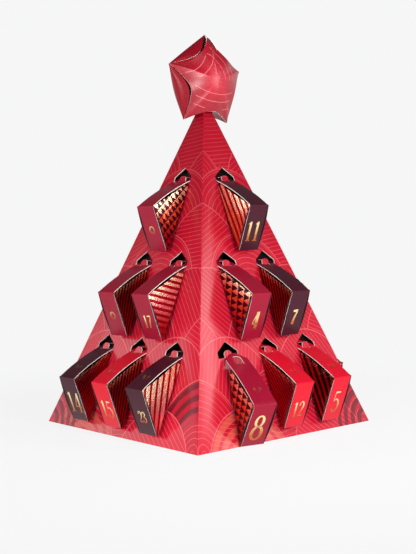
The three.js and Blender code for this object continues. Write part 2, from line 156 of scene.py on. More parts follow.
# Rings: radius, the share of it and the line of each circle, and how far up the front and the slope they lie
RING_RADIUS = 5 * MM
RING_CIRCLES = ((1, 0.55 * MM), (0.68, 0.35 * MM))
RING_FRONT_UP = 0.47
RING_SLOPE_UP = 0.34

# How far the gold foil stands off its card
STAMP_LIFT = 0.06 * MM


def linear(level):
    """A screen level out of 255 as scene light."""
    share = level / 255
    return share / 12.92 if share < 0.04045 else ((share + 0.055) / 1.055) ** 2.4


def screen(red, green, blue):
    """Scene light of a colour that is written as it shows on screen."""
    return [linear(level) for level in (red, green, blue)]


def length(about, default):
    """A size in metres, with its default written in millimetres."""
    return bpy.props.FloatProperty(
        description=about, default=default * MM, min=0, unit="LENGTH", precision=5
    )


def colour(about, default):
    """A colour to choose, with its default written as it shows on screen."""
    return bpy.props.FloatVectorProperty(
        description=about, default=screen(*default), size=3, min=0, max=1, subtype="COLOR"
    )


class CardSettings(bpy.types.PropertyGroup):
    """Colours of the printed card and of the foils."""

    red: colour("Gloss red of the pyramid and the star", (184, 18, 44))
    # Painted shade, partly print: this deep red darkens the walls toward the tip, the star's dome toward its rim
    # and the star's facets; it also tints some fans of the print
    deep_red: colour("Shaded red of the print near the tip", (150, 9, 31))
    line: colour("Fine lines of the print", (238, 140, 140))
    gold_ink: colour("Broad gold bands of the print", (206, 112, 84))
    # The trays' cut edges take the aubergine as painted shade, so the gap between sleeve and tray reads dark
    aubergine: colour("Dark sleeves, dark bands of the print and edges of the trays", (62, 18, 32))
    burgundy: colour("Wine-red sleeves", (142, 14, 42))
    bright: colour("Red sleeves", (202, 12, 38))
    core: colour("Cut edge of the card", (226, 216, 208))
    board: colour("Grey board of the base and of the star's inside and underside", (138, 116, 104))
    # Painted shade: the unprinted insides and the brace are darkened to near black, as they lie in shade
    lining: colour("Dark inside of the walls, sleeves and trays, and the brace", (46, 24, 22))
    gold_light: colour("Upper part of the foil numerals", (255, 226, 160))
    gold_dark: colour("Foot of the foil numerals", (196, 110, 50))
    chocolate: colour("Moulded chocolate", (62, 30, 18))


class PyramidSettings(bpy.types.PropertyGroup):
    """Sizes of the folded card pyramid."""

    card: length("Thickness of the pyramid's card", 1.2)
    fold: length("Width of the rounding on each ridge", 1.0)
    bottom_row: length("Up the slant from the base to the lowest cut-outs' points", 125.5)
    row_pitch: length("Up the slant from one row of cut-outs to the next", 113)
    column_pitch: length("Across from one cut-out to the next", 68)
    cut_half: length("Half the width of a cut-out", 16.25)
    cut_roof: length("Height of a cut-out's pointed top", 12.5)
    cut_drop: length("From a cut-out's point down to its bottom edge", 20.09)
    tongue_half: length("Half the width of a hanging tongue", 5.8)
    tongue_drop: length("From a cut-out's point down to the tongue's tip", 11.2)
    tongue_round: length("Radius of the tongue's top corners", 4.6)


class BoxSettings(bpy.types.PropertyGroup):
    """Sizes of one wedge box, measured from its bottom crease."""

    card: length("Thickness of the sleeve's card", 0.8)
    width: length("Width of the sleeve", 30.5)
    crease_out: length("From the wall to the sleeve's bottom crease", 1.3)
    fold_out: length("From the crease out to the fold", 41.2)
    fold_up: length("From the crease up to the fold", 42.5)
    hook_up: length("From the crease up to where the strip enters the wall", 97)
    bow: length("How far the slope panel bows out", 2.3)
    tab: length("Length of the tab past the wall's face", 17.3)
    shoulder: length("Length of the tab at its full width", 6.5)
    tab_tip: length("Width of the tab's end", 5)
    hole_start: length("From the hook line back to the hole", 1.8)
    hole_end: length("From the hook line on to the hole's top", 11.4)
    hole_half: length("Half the width of the hole", 6.4)
    hole_round: length("Radius of the hole's top corners", 4.8)
    tray_card: length("Thickness of the tray's card", 0.8)
    stand_off: length("From the wall to the tray's back", 0.4)
    side_gap: length("Between the sleeve's edge and the tray's side", 0.3)
    tray_top: length("From the hook line down to the tray's top flap", 8.5)
    bulge: length("How far a side's front edge bulges", 2.6)
    dip: length("How far a side's slope edge is set in", 1.2)


class StarSettings(bpy.types.PropertyGroup):
    """Sizes of the pillow star."""

    radius: length("From the middle to a point", 61.8)
    waist: length("From the middle to the narrowest part", 38.5)
    half_rim: length("Height of the crease above the middle plane at the waist", 15.5)
    half_depth: length("From the middle plane to the crown", 27)
    card: length("Thickness of the star's card", 1.0)
    rise: length("From the pyramid's tip to the star's middle", 16.3)
    shift_across: length("How far the star sits to the right of the tip", 1.1)
    shift_out: length("How far the star sits in front of the tip", 1.0)
    tip_room: length("Clearance round the tip where it enters the star", 0.3)


# The star: points, steps along a side, rings of its dome and its facets, how far in the facets reach, how
# sharply its sides bend at the waist, how full its dome is, and how far it is turned on the tip
STAR_POINTS = 5
STAR_EDGE_STEPS = 20
STAR_DOME_RINGS = 10
STAR_FACET_RINGS = 8
STAR_FACET_REACH = 0.96
STAR_CREASE_WEIGHT = 2
STAR_CROWN_POWER = 1.8
STAR_TURN = math.radians(-2.4)

# The star's sides, counted round to the left from the top point: the one that the pyramid's tip enters,
# how far each facet bellies out to the line between its points, and the share and the skew of its rim
STAR_TIP_SIDE = 2
STAR_BELLIES = (0.1, 0.85, 0, 1, 1)
STAR_RIMS = ((0.85, 0.55), (1, 1), (1, 1), (1, 1), (1, 1))

# The star's print and painted shade: how dark its reds are beside the walls', on the dome and on the facets, the
# facets' darker red being painted shade, from which share of the dome to which the red deepens toward the rim as
# painted shade, its arcs end and the facets begin, how strong the arcs are, the share of their pitch that they
# cover and its softness, the sheen on the dome and on the facets, and the grain
STAR_RED = 0.84
STAR_FACET_SHADE = 0.66
STAR_DOME_SHADE = (0.1, 0.9)
STAR_ARCS_END = (0.86, 0.82)
STAR_FACETS_FROM = (0.98, 1.02)
STAR_INK = 0.5
STAR_LINE = (0.07, 0.05)
STAR_SHEEN = (0.5, 0.18)
STAR_GRAIN = 0.015

# Arcs printed on the star: their centre across and up, the distances where they start and end,
# the heights they lie between, and their pitch
STAR_ARCS = (
    (0.004, 0.497, 0.062, 0.096, 0.395, 0.436, 0.0095),
    (-0.030, 0.437, 0.044, 0.068, 0.446, 0.5, 0.0100),
    (-0.046, 0.486, 0.024, 0.050, 0.446, 0.5, 0.0100),
)

# Fans of the wall print: radius, pitch of their rows before the stretch, the stretch up the wall, and the
# seed of what each one carries
FAN_RADIUS = 0.07
FAN_ROW_PITCH = 0.035
FAN_STRETCH = 1.25
FAN_SEED = 3.0

# A fan's arcs, straight lines and broad bands: pitch, the share of it that they cover, and softness; and
# the shares of the fan's radius where its border and its bands begin
FAN_ARCS = (FAN_RADIUS / 12, 0.08, 0.06)
FAN_LINES = (0.0056, 0.09, 0.07)
FAN_BANDS = (FAN_RADIUS / 6, 0.6, 0.05)
FAN_BORDER = 0.985
FAN_BANDS_FROM = 0.45

# What a fan carries, by its chance from 0 to 1: from where it has straight lines or gold bands, and below
# where dark bands, which grow fewer up the wall and are certain at its right-hand corner, from so far
# across and to so far up
STRAIGHT_FROM = 0.5
GOLD_FROM = 0.9
DARK_BELOW = 0.26
DARK_FADE = -0.5
CORNER_ACROSS = 0.12
CORNER_UP = 0.02

# Strength of the inks: the lines, which fade up the wall, the gold and the dark bands, and a fan's own tint
LINE_INK = 0.36
LINE_FADE = -0.6
GOLD_INK = 0.35
DARK_INK = 0.7
FAN_TINT = 0.4

# The heights where the red begins to deepen and is deepest, partly print and partly painted shade on the upper
# wall, and the grain of the walls
PAINTED_SHADE_RISE = (0.05, 0.42)
WALL_GRAIN = 0.02

# Arcs round the corners of the walls: pitch, the share of it that they cover, and from where to where
CORNER_ARCS = (0.0125, 0.55)
CORNER_REACH = (0.012, 0.062)

# How softly a printed shape ends
PRINT_SOFTNESS = 0.0004

# Colours of the foils
FOIL_CREAM = screen(255, 232, 190)
FOIL_ORANGE = screen(226, 104, 62)
FOIL_AMBER = screen(240, 150, 92)
FOIL_ROSE = screen(240, 150, 150)
FOIL_RED = screen(190, 18, 34)
FOIL_CRIMSON = screen(160, 12, 38)
FOIL_WINE = screen(70, 12, 36)
FOIL_BLACK = screen(26, 6, 12)

# Patterns of the foils: width of a triangle for its height and how softly it ends, from where to where in
# the noise a painted glint begins, and how far in from the slope edge the painted glints lie
TRIANGLE_WIDTH = 0.8
TRIANGLE_SOFTNESS = (-0.04, 0.08)
GLINT_EDGE = (0.62, 0.67)
GLINT_REACH = 0.012

# Steps of the bowed slope, the widths of the rounding at the fold and the crease, and the steps of a
# tray's side out and up
SLOPE_STEPS = 10
FOLD_ROUND = 0.9 * MM
CREASE_ROUND = 0.4 * MM
TRAY_COLUMNS = 8
TRAY_ROWS = 16

# The chocolate: width, length, thickness, how far up from the crease it starts, the taper of its top, the
# width and the depth of its groove, the same of its raised middle, and the rounding of its edges
SWEET_SIZE = (24 * MM, 27 * MM, 12 * MM)
SWEET_RISE = 20 * MM
SWEET_TAPER = (0.8, 0.82, 1)
SWEET_GROOVE = (1.6 * MM, -0.8 * MM)
SWEET_MIDDLE = (1.2 * MM, 1.2 * MM)
SWEET_ROUND = 0.9 * MM

# Framing of the photograph: its camera, the height of its frame and the place that it looks at
VIEW_AZIMUTH = math.radians(-42.07)
VIEW_ELEVATION = math.radians(2.45)
VIEW_ROLL = math.radians(-0.62)
VIEW_DISTANCE = 1.345
VIEW_FOCAL_PIXELS = 1024.7
FRAME_HEIGHT = 554
VIEW_CLIP = (0.05, 50)
SENSOR = 36
LOOK_ACROSS = 0.0027
LOOK_UP = 0.19

# Stage: the pale background, the dim ceiling and where one falls off to the other
BACKGROUND = (0.922, 0.922, 0.925, 1)
CEILING = (0.12, 0.12, 0.12, 1)
HORIZON_TOP = math.radians(14)
CEILING_FOOT = math.radians(28)

# The floor: size, own tone, how much of it is as plain as the background near the calendar, from where to
# where that grows to all of it, and how much light it gives back
FLOOR_SIZE = 40
FLOOR_TONE = (0.8, 0.8, 0.8)
FLOOR_PLAIN = 0.86
FLOOR_FADE = (0.25, 0.7)
FLOOR_BOUNCE = 0.4

# The soft lamps, by name, place, size and power, and the place that they all face
LAMP_TARGET = Vector((0, 0, 0.2))
LAMPS = (
    ("key", (-0.34, -1.2, 0.18), (0.7, 0.32), 5.4),
    ("glint", (0.54, -0.93, 0.66), (0.3, 0.7), 4.4),
    ("sparkle", (-0.2, -1.1, 0.6), (0.2, 0.5), 5.5),
    ("fill", (-1.0, 0.9, 0.40), (0.9, 0.4), 2),
    ("side", (-1.5, -0.35, 0.2), (0.6, 0.4), 12.5),
    ("front", (-0.75, -0.8, 1.5), (0.9, 0.9), 4),
)


# Short ways of working in the mesh editor

def clear_selection():
    """Leaves the mesh editor and selects nothing."""
    if bpy.context.object and bpy.context.object.mode != "OBJECT":
        bpy.ops.object.mode_set(mode="OBJECT")
    bpy.ops.object.select_all(action="DESELECT")


def only(piece):
    """Makes one piece the selected and active one."""
    clear_selection()
    piece.select_set(True)
    bpy.context.view_layer.objects.active = piece


def edit(piece):
    """Opens one piece in the mesh editor with everything selected."""
    only(piece)
    bpy.ops.object.mode_set(mode="EDIT")
    bpy.ops.mesh.select_all(action="SELECT")


def pick(piece, kind, test):
    """Selects the vertices, edges or faces of the edited piece whose middle passes a test."""
    bpy.ops.mesh.select_mode(type=kind)
    bpy.ops.mesh.select_all(action="DESELECT")
    mesh = bmesh.from_edit_mesh(piece.data)
    for part in {"VERT": mesh.verts, "EDGE": mesh.edges, "FACE": mesh.faces}[kind]:
        points = [part.co] if kind == "VERT" else [vertex.co for vertex in part.verts]
        part.select_set(test(sum(points, Vector()) / len(points)))
    mesh.select_flush_mode()
    bmesh.update_edit_mesh(piece.data)


def done(piece, name):
    """Closes the mesh editor and names the piece."""
    clear_selection()
    piece.name = name
    piece.data.name = name
    return piece


def use(piece, kind, **settings):
    """Adds a modifier and applies it."""
    only(piece)
    modifier = piece.modifiers.new(kind, kind)
    for key, value in settings.items():
        setattr(modifier, key, value)
    bpy.ops.object.modifier_apply(modifier=modifier.name)


def cut(piece, cutter):
    """Cuts a piece with another and removes the cutter."""
    use(piece, "BOOLEAN", operation="DIFFERENCE", solver="EXACT", object=cutter)
    bpy.data.objects.remove(cutter)


def join(pieces):
    """Joins the pieces into the first of them."""
    clear_selection()
    for piece in pieces:
        piece.select_set(True)
    bpy.context.view_layer.objects.active = pieces[0]
    bpy.ops.object.join()
    clear_selection()
    return pieces[0]


def twin(piece, name, place):
    """A copy of a piece with its own mesh, put in its place there."""
    copy = piece.copy()
    copy.data = piece.data.copy()
    copy.name = name
    copy.data.name = name
    bpy.context.scene.collection.objects.link(copy)
    copy.data.transform(place)
    return copy


def smooth(piece, angle=30):
    """Smooth shading, with edges sharper than the angle left sharp."""
    only(piece)
    bpy.ops.object.shade_smooth_by_angle(angle=math.radians(angle))
    clear_selection()
    return piece


def wear(piece, materials):
    """Gives a piece its material slots, first to last."""
    piece.data.materials.clear()
    for layer in materials:
        piece.data.materials.append(layer)


def print_layer(piece):
    """The piece's own print map, made if it has none."""
    return piece.data.uv_layers.get("print") or piece.data.uv_layers.new(name="print")


def map_print(piece, point_to_print):
    """Writes the piece's own print map: the place of each point on the flat print."""
    layer = print_layer(piece)
    for polygon in piece.data.polygons:
        for loop in polygon.loop_indices:
            point = piece.data.vertices[piece.data.loops[loop].vertex_index].co
            layer.data[loop].uv = point_to_print(point, polygon.normal)


def extrude_along(piece, points):
    """Extrudes the selected edge through a run of points of (out, up)."""
    for start, end in zip(points, points[1:]):
        step = (0, end[1] - start[1], end[0] - start[0])
        bpy.ops.mesh.extrude_edges_move(TRANSFORM_OT_translate={"value": step})


def plane_edge(width, out, up):
    """A new piece that is a single edge across, at a place of its box's frame."""
    clear_selection()
    bpy.ops.mesh.primitive_plane_add(size=width)
    piece = bpy.context.object
    edit(piece)
    pick(piece, "VERT", lambda point: point.y > 0)
    bpy.ops.mesh.delete(type="VERT")
    bpy.ops.mesh.select_all(action="SELECT")
    bpy.ops.transform.translate(value=(0, width / 2 + up, out))
    bpy.ops.mesh.select_mode(type="EDGE")
    bpy.ops.mesh.select_all(action="SELECT")
    return piece


def arch_prism(half, low, high, rounding, depth):
    """A prism with a round-cornered top, centred on z = 0, to cut holes and tongues with."""
    clear_selection()
    bpy.ops.mesh.primitive_plane_add(size=1)
    piece = bpy.context.object
    edit(piece)
    bpy.ops.transform.resize(value=(2 * half, high - low, 1), center_override=(0, 0, 0))
    bpy.ops.transform.translate(value=(0, (high + low) / 2, -depth / 2))
    pick(piece, "VERT", lambda point: point.y > (high + low) / 2)
    bpy.ops.mesh.bevel(offset=rounding, segments=6, affect="VERTICES")
    bpy.ops.mesh.select_all(action="SELECT")
    bpy.ops.mesh.extrude_region_move(TRANSFORM_OT_translate={"value": (0, 0, depth)})
    bpy.ops.mesh.select_all(action="SELECT")
    bpy.ops.mesh.normals_make_consistent(inside=False)
    return done(piece, "arch cutter")


# Places

def arc(share):
    """A low parabola: nothing at both ends of a run and 1 at its middle."""
    return 4 * share * (1 - share)


def frame_from(across, out, place):
    """A matrix from its across and out directions and its place."""
    up = out.cross(across)
    matrix = Matrix((across, up, out)).transposed().to_4x4()
    matrix.translation = place
    return matrix


def box_frame(number):
    """The box's own frame: x across, y up its wall and z out, with its bottom crease at the origin."""
    hinge = JOINTS[f"sleeve_{number:02d}_open"]
    across = Vector(hinge["axis"])
    lean = WALL_LEAN - LOOSE_LEAN if number == LOOSE_BOX else WALL_LEAN + HANG_LEAN
    out = across.cross(UP) * math.cos(lean) + UP * math.sin(lean)
    return frame_from(across, out, Vector(hinge["pos_m"]))


def base_half():
    """Half the side of the base square."""
    return -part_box(WALLS[0])[0].y


def square_cone(half, height, foot, ends="NGON"):
    """A four-sided pyramid with its base square to the axes."""
    clear_selection()
    bpy.ops.mesh.primitive_cone_add(
        vertices=4, radius1=half * math.sqrt(2), radius2=0, depth=height, end_fill_type=ends,
        location=(0, 0, foot + height / 2), rotation=(0, 0, math.pi / 4),
    )
    bpy.ops.object.transform_apply(location=True, rotation=True, scale=True)
    return bpy.context.object


def wall_frame(wall):
    """A wall's frame: x across, y up the slant from the middle of the base edge, and z out."""
    outward = Matrix.Rotation(wall * math.pi / 2, 3, "Z") @ Vector((0, -1, 0))
    out = outward * math.cos(WALL_LEAN) + UP * math.sin(WALL_LEAN)
    return frame_from(UP.cross(outward), out, outward * base_half())


def cut_out_frames(size):
    """Each wall's frame moved to the point of each of its cut-outs."""
    frames = []
    for wall in range(len(WALLS)):
        for row in range(ROWS):
            up = size.bottom_row + (ROWS - 1 - row) * size.row_pitch
            for column in range(row + 1):
                across = (column - row / 2) * size.column_pitch
                frames.append(wall_frame(wall) @ Matrix.Translation((across, up, 0)))
    return frames


# Materials

class Nodes:
    """Shader nodes, added and joined with short calls."""

    def __init__(self, owner):
        owner.use_nodes = True
        self.tree = owner.node_tree

    def feed(self, socket, value):
        if isinstance(value, bpy.types.NodeSocket):
            self.tree.links.new(value, socket)
        elif socket.type == "RGBA" and len(value) == 3:
            socket.default_value = (*value, 1)
        else:
            socket.default_value = value

    def node(self, kind, inputs=(), **settings):
        node = self.tree.nodes.new(kind)
        for key, value in settings.items():
            setattr(node, key, value)
        for index, value in enumerate(inputs):
            self.feed(node.inputs[index], value)
        return node

    def maths(self, operation, *values):
        return self.node("ShaderNodeMath", values, operation=operation).outputs[0]

    def times(self, first, second):
        return self.maths("MULTIPLY", first, second)

    def plus(self, first, second):
        return self.maths("ADD", first, second)

    def minus(self, first, second):
        return self.maths("SUBTRACT", first, second)

    def over(self, value, limit):
        """1 where the value is more than the limit."""
        return self.maths("GREATER_THAN", value, limit)

    def under(self, value, limit):
        """1 where the value is less than the limit."""
        return self.maths("LESS_THAN", value, limit)

    def most(self, first, second):
        return self.maths("MAXIMUM", first, second)

    def line(self, value, slope, start):
        """The slope times the value, and the start."""
        return self.maths("MULTIPLY_ADD", value, slope, start)

    def parts(self, place):
        return self.node("ShaderNodeSeparateXYZ", (place,)).outputs

    def point(self, *numbers):
        return self.node("ShaderNodeCombineXYZ", numbers).outputs[0]

    def distance(self, first, second):
        node = self.node("ShaderNodeVectorMath", (first, second), operation="DISTANCE")
        return node.outputs["Value"]

    def smoothly(self, value, low, high):
        """0 below the low value and 1 above the high one."""
        node = self.node("ShaderNodeMapRange", (value, low, high), interpolation_type="SMOOTHSTEP")
        return node.outputs[0]

    def between(self, value, low, high, soft=PRINT_SOFTNESS):
        """1 from the low value to the high one."""
        rise = self.smoothly(value, low - soft, low + soft)
        fall = self.smoothly(value, high - soft, high + soft)
        return self.minus(rise, fall)

    def mix(self, share, first, second):
        """A colour part of the way from the first to the second."""
        node = self.node("ShaderNodeMix", data_type="RGBA")
        for index, value in ((0, share), (6, first), (7, second)):
            self.feed(node.inputs[index], value)
        return node.outputs[2]

    def blend(self, share, first, second):
        """A number part of the way from the first to the second."""
        node = self.node("ShaderNodeMix", (share,), data_type="FLOAT")
        for index, value in ((2, first), (3, second)):
            self.feed(node.inputs[index], value)
        return node.outputs[0]

    def print_place(self):
        """Across and up on the piece's own print map, in metres."""
        layer = self.node("ShaderNodeUVMap", uv_map="print")
        return self.parts(layer.outputs[0])[:2]

    def object_place(self):
        return self.node("ShaderNodeTexCoord").outputs["Object"]

    def noise(self, scale, detail=2.0, roughness=0.5):
        node = self.node("ShaderNodeTexNoise")
        settings = {"Vector": self.object_place(), "Scale": scale, "Detail": detail, "Roughness": roughness}
        for key, value in settings.items():
            self.feed(node.inputs[key], value)
        return node.outputs[0]

    def stripes(self, place, pitch, share, soft=0.08):
        """1 on stripes that take a share of each pitch."""
        turn = self.maths("FRACT", self.maths("DIVIDE", place, pitch))
        away = self.maths("ABSOLUTE", self.minus(turn, 0.5))
        return self.minus(1.0, self.smoothly(away, share / 2 - soft / 2, share / 2 + soft / 2))

    def chance(self, *numbers):
        """Three unrelated shares that stay the same wherever the numbers do."""
        cell = self.point(*numbers)
        tint = self.node("ShaderNodeTexWhiteNoise", (cell,), noise_dimensions="3D").outputs["Color"]
        return self.node("ShaderNodeSeparateColor", (tint,)).outputs[:3]

    def slanted(self, across, up, angle):
        """The distance along a direction, at an angle from across."""
        turned = math.radians(angle)
        return self.plus(self.times(across, math.cos(turned)), self.times(up, math.sin(turned)))


class Recipe(Nodes):
    """The nodes of one material."""

    def __init__(self, name, roughness=0.4, metallic=0.0, specular=0.5):
        self.material = bpy.data.materials.new(name)
        super().__init__(self.material)
        self.shader = self.tree.nodes["Principled BSDF"]
        settings = {"Roughness": roughness, "Metallic": metallic, "Specular IOR Level": specular}
        for key, value in settings.items():
            self.feed(self.shader.inputs[key], value)

    def bump(self, height, strength, distance):
        node = self.node("ShaderNodeBump")
        for key, value in {"Strength": strength, "Distance": distance, "Height": height}.items():
            self.feed(node.inputs[key], value)
        self.feed(self.shader.inputs["Normal"], node.outputs[0])

    def finish(self, base):
        self.feed(self.shader.inputs["Base Color"], base)
        return self.material


def dim(tone, share):
    """A colour darkened to a share of itself."""
    return [level * share for level in tone]


def mottled(recipe, tone, share, scale, detail):
    """A colour with faint cloudy spots that are darker."""
    return recipe.mix(recipe.noise(scale, detail), dim(tone, share), tone)


def card_grain(recipe, strength=0.08):
    """The faint waviness and fibre of pressed card."""
    wave, fibre = recipe.noise(scale=60, detail=1), recipe.noise(scale=1400, detail=2)
    recipe.bump(recipe.line(fibre, 0.12, wave), strength, distance=0.002)


def plain_card(name, tone, roughness):
    """Unprinted card, or its cut edge."""
    recipe = Recipe(name, roughness, specular=0.2)
    card_grain(recipe, strength=0.12)
    return recipe.finish(mottled(recipe, tone, share=0.82, scale=500, detail=3))


def sleeve_print(name, tone):
    """A single deep colour with a soft sheen."""
    recipe = Recipe(name, roughness=0.28, specular=0.16)
    card_grain(recipe)
    return recipe.finish(mottled(recipe, tone, share=0.86, scale=45, detail=2))


def chocolate_bar(tone):
    """Tempered chocolate with a soft gloss."""
    recipe = Recipe("chocolate", roughness=0.3)
    recipe.bump(recipe.noise(scale=120, detail=3), strength=0.05, distance=0.001)
    return recipe.finish(mottled(recipe, tone, share=0.8, scale=120, detail=3))


def gold_foil(card):
    """Numeral foil that runs from pale gold at the top to copper at the foot."""
    recipe = Recipe("gold foil", roughness=0.25, metallic=0.8)
    up = recipe.print_place()[1]
    return recipe.finish(recipe.mix(recipe.smoothly(up, 0.1, 0.9), card.gold_dark, card.gold_light))


def fan(recipe, across, up, row):
    """One row of overlapping fans: the distance from the nearest fan's foot and that foot's place."""
    foot_up = recipe.times(row, FAN_ROW_PITCH)
    odd = recipe.times(recipe.maths("FLOORED_MODULO", row, 2.0), FAN_RADIUS)
    turn = recipe.maths("DIVIDE", recipe.minus(across, odd), 2 * FAN_RADIUS)
    foot = recipe.line(recipe.maths("ROUND", turn), 2 * FAN_RADIUS, odd)
    away = recipe.distance(recipe.point(across, up, 0.0), recipe.point(foot, foot_up, 0.0))
    return away, foot, foot_up


def front_fan(recipe, across, up):
    """Of the fans that cover a place, the lowest one, which lies in front of the others."""
    rows_up = recipe.maths("DIVIDE", recipe.minus(up, FAN_RADIUS), FAN_ROW_PITCH)
    first_row = recipe.maths("CEIL", rows_up)
    chosen = fan(recipe, across, up, recipe.plus(first_row, 2.0))
    for step in (1.0, 0.0):
        nearer = fan(recipe, across, up, recipe.plus(first_row, step))
        covers = recipe.under(nearer[0], FAN_RADIUS)
        chosen = [recipe.blend(covers, behind, ahead) for behind, ahead in zip(chosen, nearer)]
    return chosen


def corner_arcs(recipe):
    """Broad arcs round the pyramid's corners, apart from the front one."""
    across, back, up = recipe.parts(recipe.object_place())
    folded = recipe.point(recipe.maths("ABSOLUTE", across), recipe.maths("ABSOLUTE", back), up)
    away = recipe.distance(folded, (base_half(), base_half(), 0.0))
    arcs = recipe.times(recipe.stripes(away, *CORNER_ARCS), recipe.between(away, *CORNER_REACH))
    return recipe.times(arcs, recipe.over(recipe.plus(across, back), -base_half()))


def wall_print(card):
    """Gloss red with fans of fine pale arcs, some in straight lines, gold bands or broad dark bands."""
    recipe = Recipe("wall print and painted shade", roughness=0.22, specular=0.32)
    card_grain(recipe, WALL_GRAIN)
    across, up = recipe.print_place()
    distance, foot, foot_up = front_fan(recipe, across, recipe.maths("DIVIDE", up, FAN_STRETCH))
    kind, tint, lean = recipe.chance(foot, foot_up, FAN_SEED)

    # Painted shade, partly print: the red deepens up the wall toward the tip
    ground = recipe.mix(recipe.smoothly(up, *PAINTED_SHADE_RISE), card.red, card.deep_red)
    ground = recipe.mix(recipe.times(tint, FAN_TINT), ground, card.deep_red)

    turned = recipe.times(lean, math.pi)
    sideways = recipe.times(across, recipe.maths("COSINE", turned))
    slope = recipe.line(up, recipe.maths("SINE", turned), sideways)
    straight = recipe.stripes(slope, *FAN_LINES)
    lines = recipe.blend(recipe.over(kind, STRAIGHT_FROM), recipe.stripes(distance, *FAN_ARCS), straight)
    lines = recipe.most(lines, recipe.over(distance, FAN_RADIUS * FAN_BORDER))
    inked = recipe.mix(recipe.times(lines, recipe.line(up, LINE_FADE, LINE_INK)), ground, card.line)

    outer = recipe.over(distance, FAN_RADIUS * FAN_BANDS_FROM)
    bands = recipe.times(recipe.stripes(distance, *FAN_BANDS), outer)
    gold = recipe.times(bands, recipe.over(kind, GOLD_FROM))
    inked = recipe.mix(recipe.times(gold, GOLD_INK), inked, card.gold_ink)

    at_corner = recipe.times(recipe.over(foot, CORNER_ACROSS), recipe.under(foot_up, CORNER_UP))
    reach = recipe.plus(recipe.line(foot_up, DARK_FADE, DARK_BELOW), at_corner)
    dark = recipe.times(bands, recipe.under(kind, reach))
    dark = recipe.most(dark, corner_arcs(recipe))
    return recipe.finish(recipe.mix(recipe.times(dark, DARK_INK), inked, card.aubergine))


def star_print(card):
    """Red with a soft sheen and a few fine pale arcs on the crown, with painted shade that deepens the red toward
    the rim and darkens the duller facets.
    """
    recipe = Recipe("star print and painted shade", roughness=0.31)
    card_grain(recipe, STAR_GRAIN)
    place = recipe.parts(recipe.object_place())
    share = recipe.print_place()[0]
    flat = recipe.point(place[0], 0.0, place[2])
    lines = 0.0
    for middle_across, middle_up, near, far, low, high, pitch in STAR_ARCS:
        away = recipe.distance(flat, (middle_across, 0.0, middle_up))
        arcs = recipe.times(recipe.stripes(away, pitch, *STAR_LINE), recipe.between(away, near, far))
        lines = recipe.most(lines, recipe.times(arcs, recipe.between(place[2], low, high)))
    strength = recipe.times(recipe.times(lines, recipe.smoothly(share, *STAR_ARCS_END)), STAR_INK)
    reds = [dim(tone, STAR_RED) for tone in (card.red, card.deep_red)]
    # Painted shade: the dome's red deepens toward its rim, and the facets take a darker red than the dome
    ground = recipe.mix(recipe.smoothly(share, *STAR_DOME_SHADE), *reds)
    on_facet = recipe.smoothly(share, *STAR_FACETS_FROM)
    ground = recipe.mix(on_facet, ground, dim(card.deep_red, STAR_FACET_SHADE))
    recipe.feed(recipe.shader.inputs["Specular IOR Level"], recipe.blend(on_facet, *STAR_SHEEN))
    return recipe.finish(recipe.mix(strength, ground, card.line))


def rows_of(angle, pitch, share):
    """Straight stripes across a direction."""
    return lambda recipe, out, up: recipe.stripes(recipe.slanted(out, up, angle), pitch, share)


def triangles_of(angle, pitch):
    """Rows of triangles that point along a direction."""
    def pattern(recipe, out, up):
        along, aside = recipe.slanted(out, up, angle), recipe.slanted(out, up, angle + 90)
        height = recipe.maths("FRACT", recipe.maths("DIVIDE", along, pitch))
        turn = recipe.maths("FRACT", recipe.maths("DIVIDE", aside, pitch * TRIANGLE_WIDTH))
        away = recipe.maths("ABSOLUTE", recipe.line(turn, 2.0, -1.0))
        return recipe.smoothly(recipe.minus(height, away), *TRIANGLE_SOFTNESS)
    return pattern


def foil(name, pattern, ground, fade, strength=1.0, middle=FOIL_ORANGE):
    """Crinkled foil: a bright pattern that runs from cream at the slope edge to red further in, with painted
    glints near that edge.
    """
    recipe = Recipe(name, roughness=0.24, metallic=0.9)
    recipe.bump(recipe.noise(scale=260, detail=3, roughness=0.6), strength=0.3, distance=0.002)
    out, up = recipe.print_place()
    size = bpy.context.scene.calendar_box
    run = Vector((size.hook_up - size.fold_up, size.fold_out + size.crease_out)).normalized()
    edge = recipe.line(up, run.y, recipe.times(out, run.x))
    inset = recipe.minus(size.fold_out * run.x + size.fold_up * run.y, edge)
    inset = recipe.line(recipe.noise(scale=90, detail=2), 0.4 * fade, inset)
    warm = recipe.mix(recipe.smoothly(inset, 0.3 * fade, fade), FOIL_CREAM, middle)
    warm = recipe.mix(recipe.smoothly(inset, fade, 2.2 * fade), warm, FOIL_RED)
    printed = recipe.mix(recipe.times(pattern(recipe, out, up), strength), ground, warm)
    # Painted glints: cream specks near the slope edge stand in for light catching the crinkles
    painted_glints = recipe.smoothly(recipe.noise(scale=620, detail=1), *GLINT_EDGE)
    near_edge = recipe.smoothly(inset, GLINT_REACH, 0.2 * GLINT_REACH)
    return recipe.finish(recipe.mix(recipe.times(painted_glints, near_edge), printed, FOIL_CREAM))


def foil_materials():
    """A foil for each kind of print: pattern, ground, depth of its light tones, strength and middle tone."""
    return {
        "stripes": foil("foil stripes", rows_of(4, 0.0078, 0.52), FOIL_CRIMSON, 0.036, 1.0, FOIL_AMBER),
        "lozenges": foil("foil lozenges", triangles_of(-30, 0.0108), FOIL_WINE, 0.022),
        "pinstripes": foil("foil pinstripes", rows_of(-10, 0.0042, 0.45), FOIL_BLACK, 0.0045, 0.8),
        "broad": foil("foil broad stripes", rows_of(2, 0.0085, 0.45), FOIL_BLACK, 0.001, 0.8),
        "triangles": foil("foil triangles", triangles_of(24, 0.0092), FOIL_WINE, 0.024),
        "bands": foil("foil bands", rows_of(80, 0.0072, 0.5), FOIL_CRIMSON, 0.026, 1.0, FOIL_ROSE),
        "crinkle": foil("foil crinkle", rows_of(12, 0.0036, 0.6), FOIL_WINE, 0.002, 0.85),
        "candy": foil("foil candy", rows_of(-14, 0.0085, 0.6), FOIL_CRIMSON, 0.05, 1.0, FOIL_ROSE),
    }


MATERIALS = {}


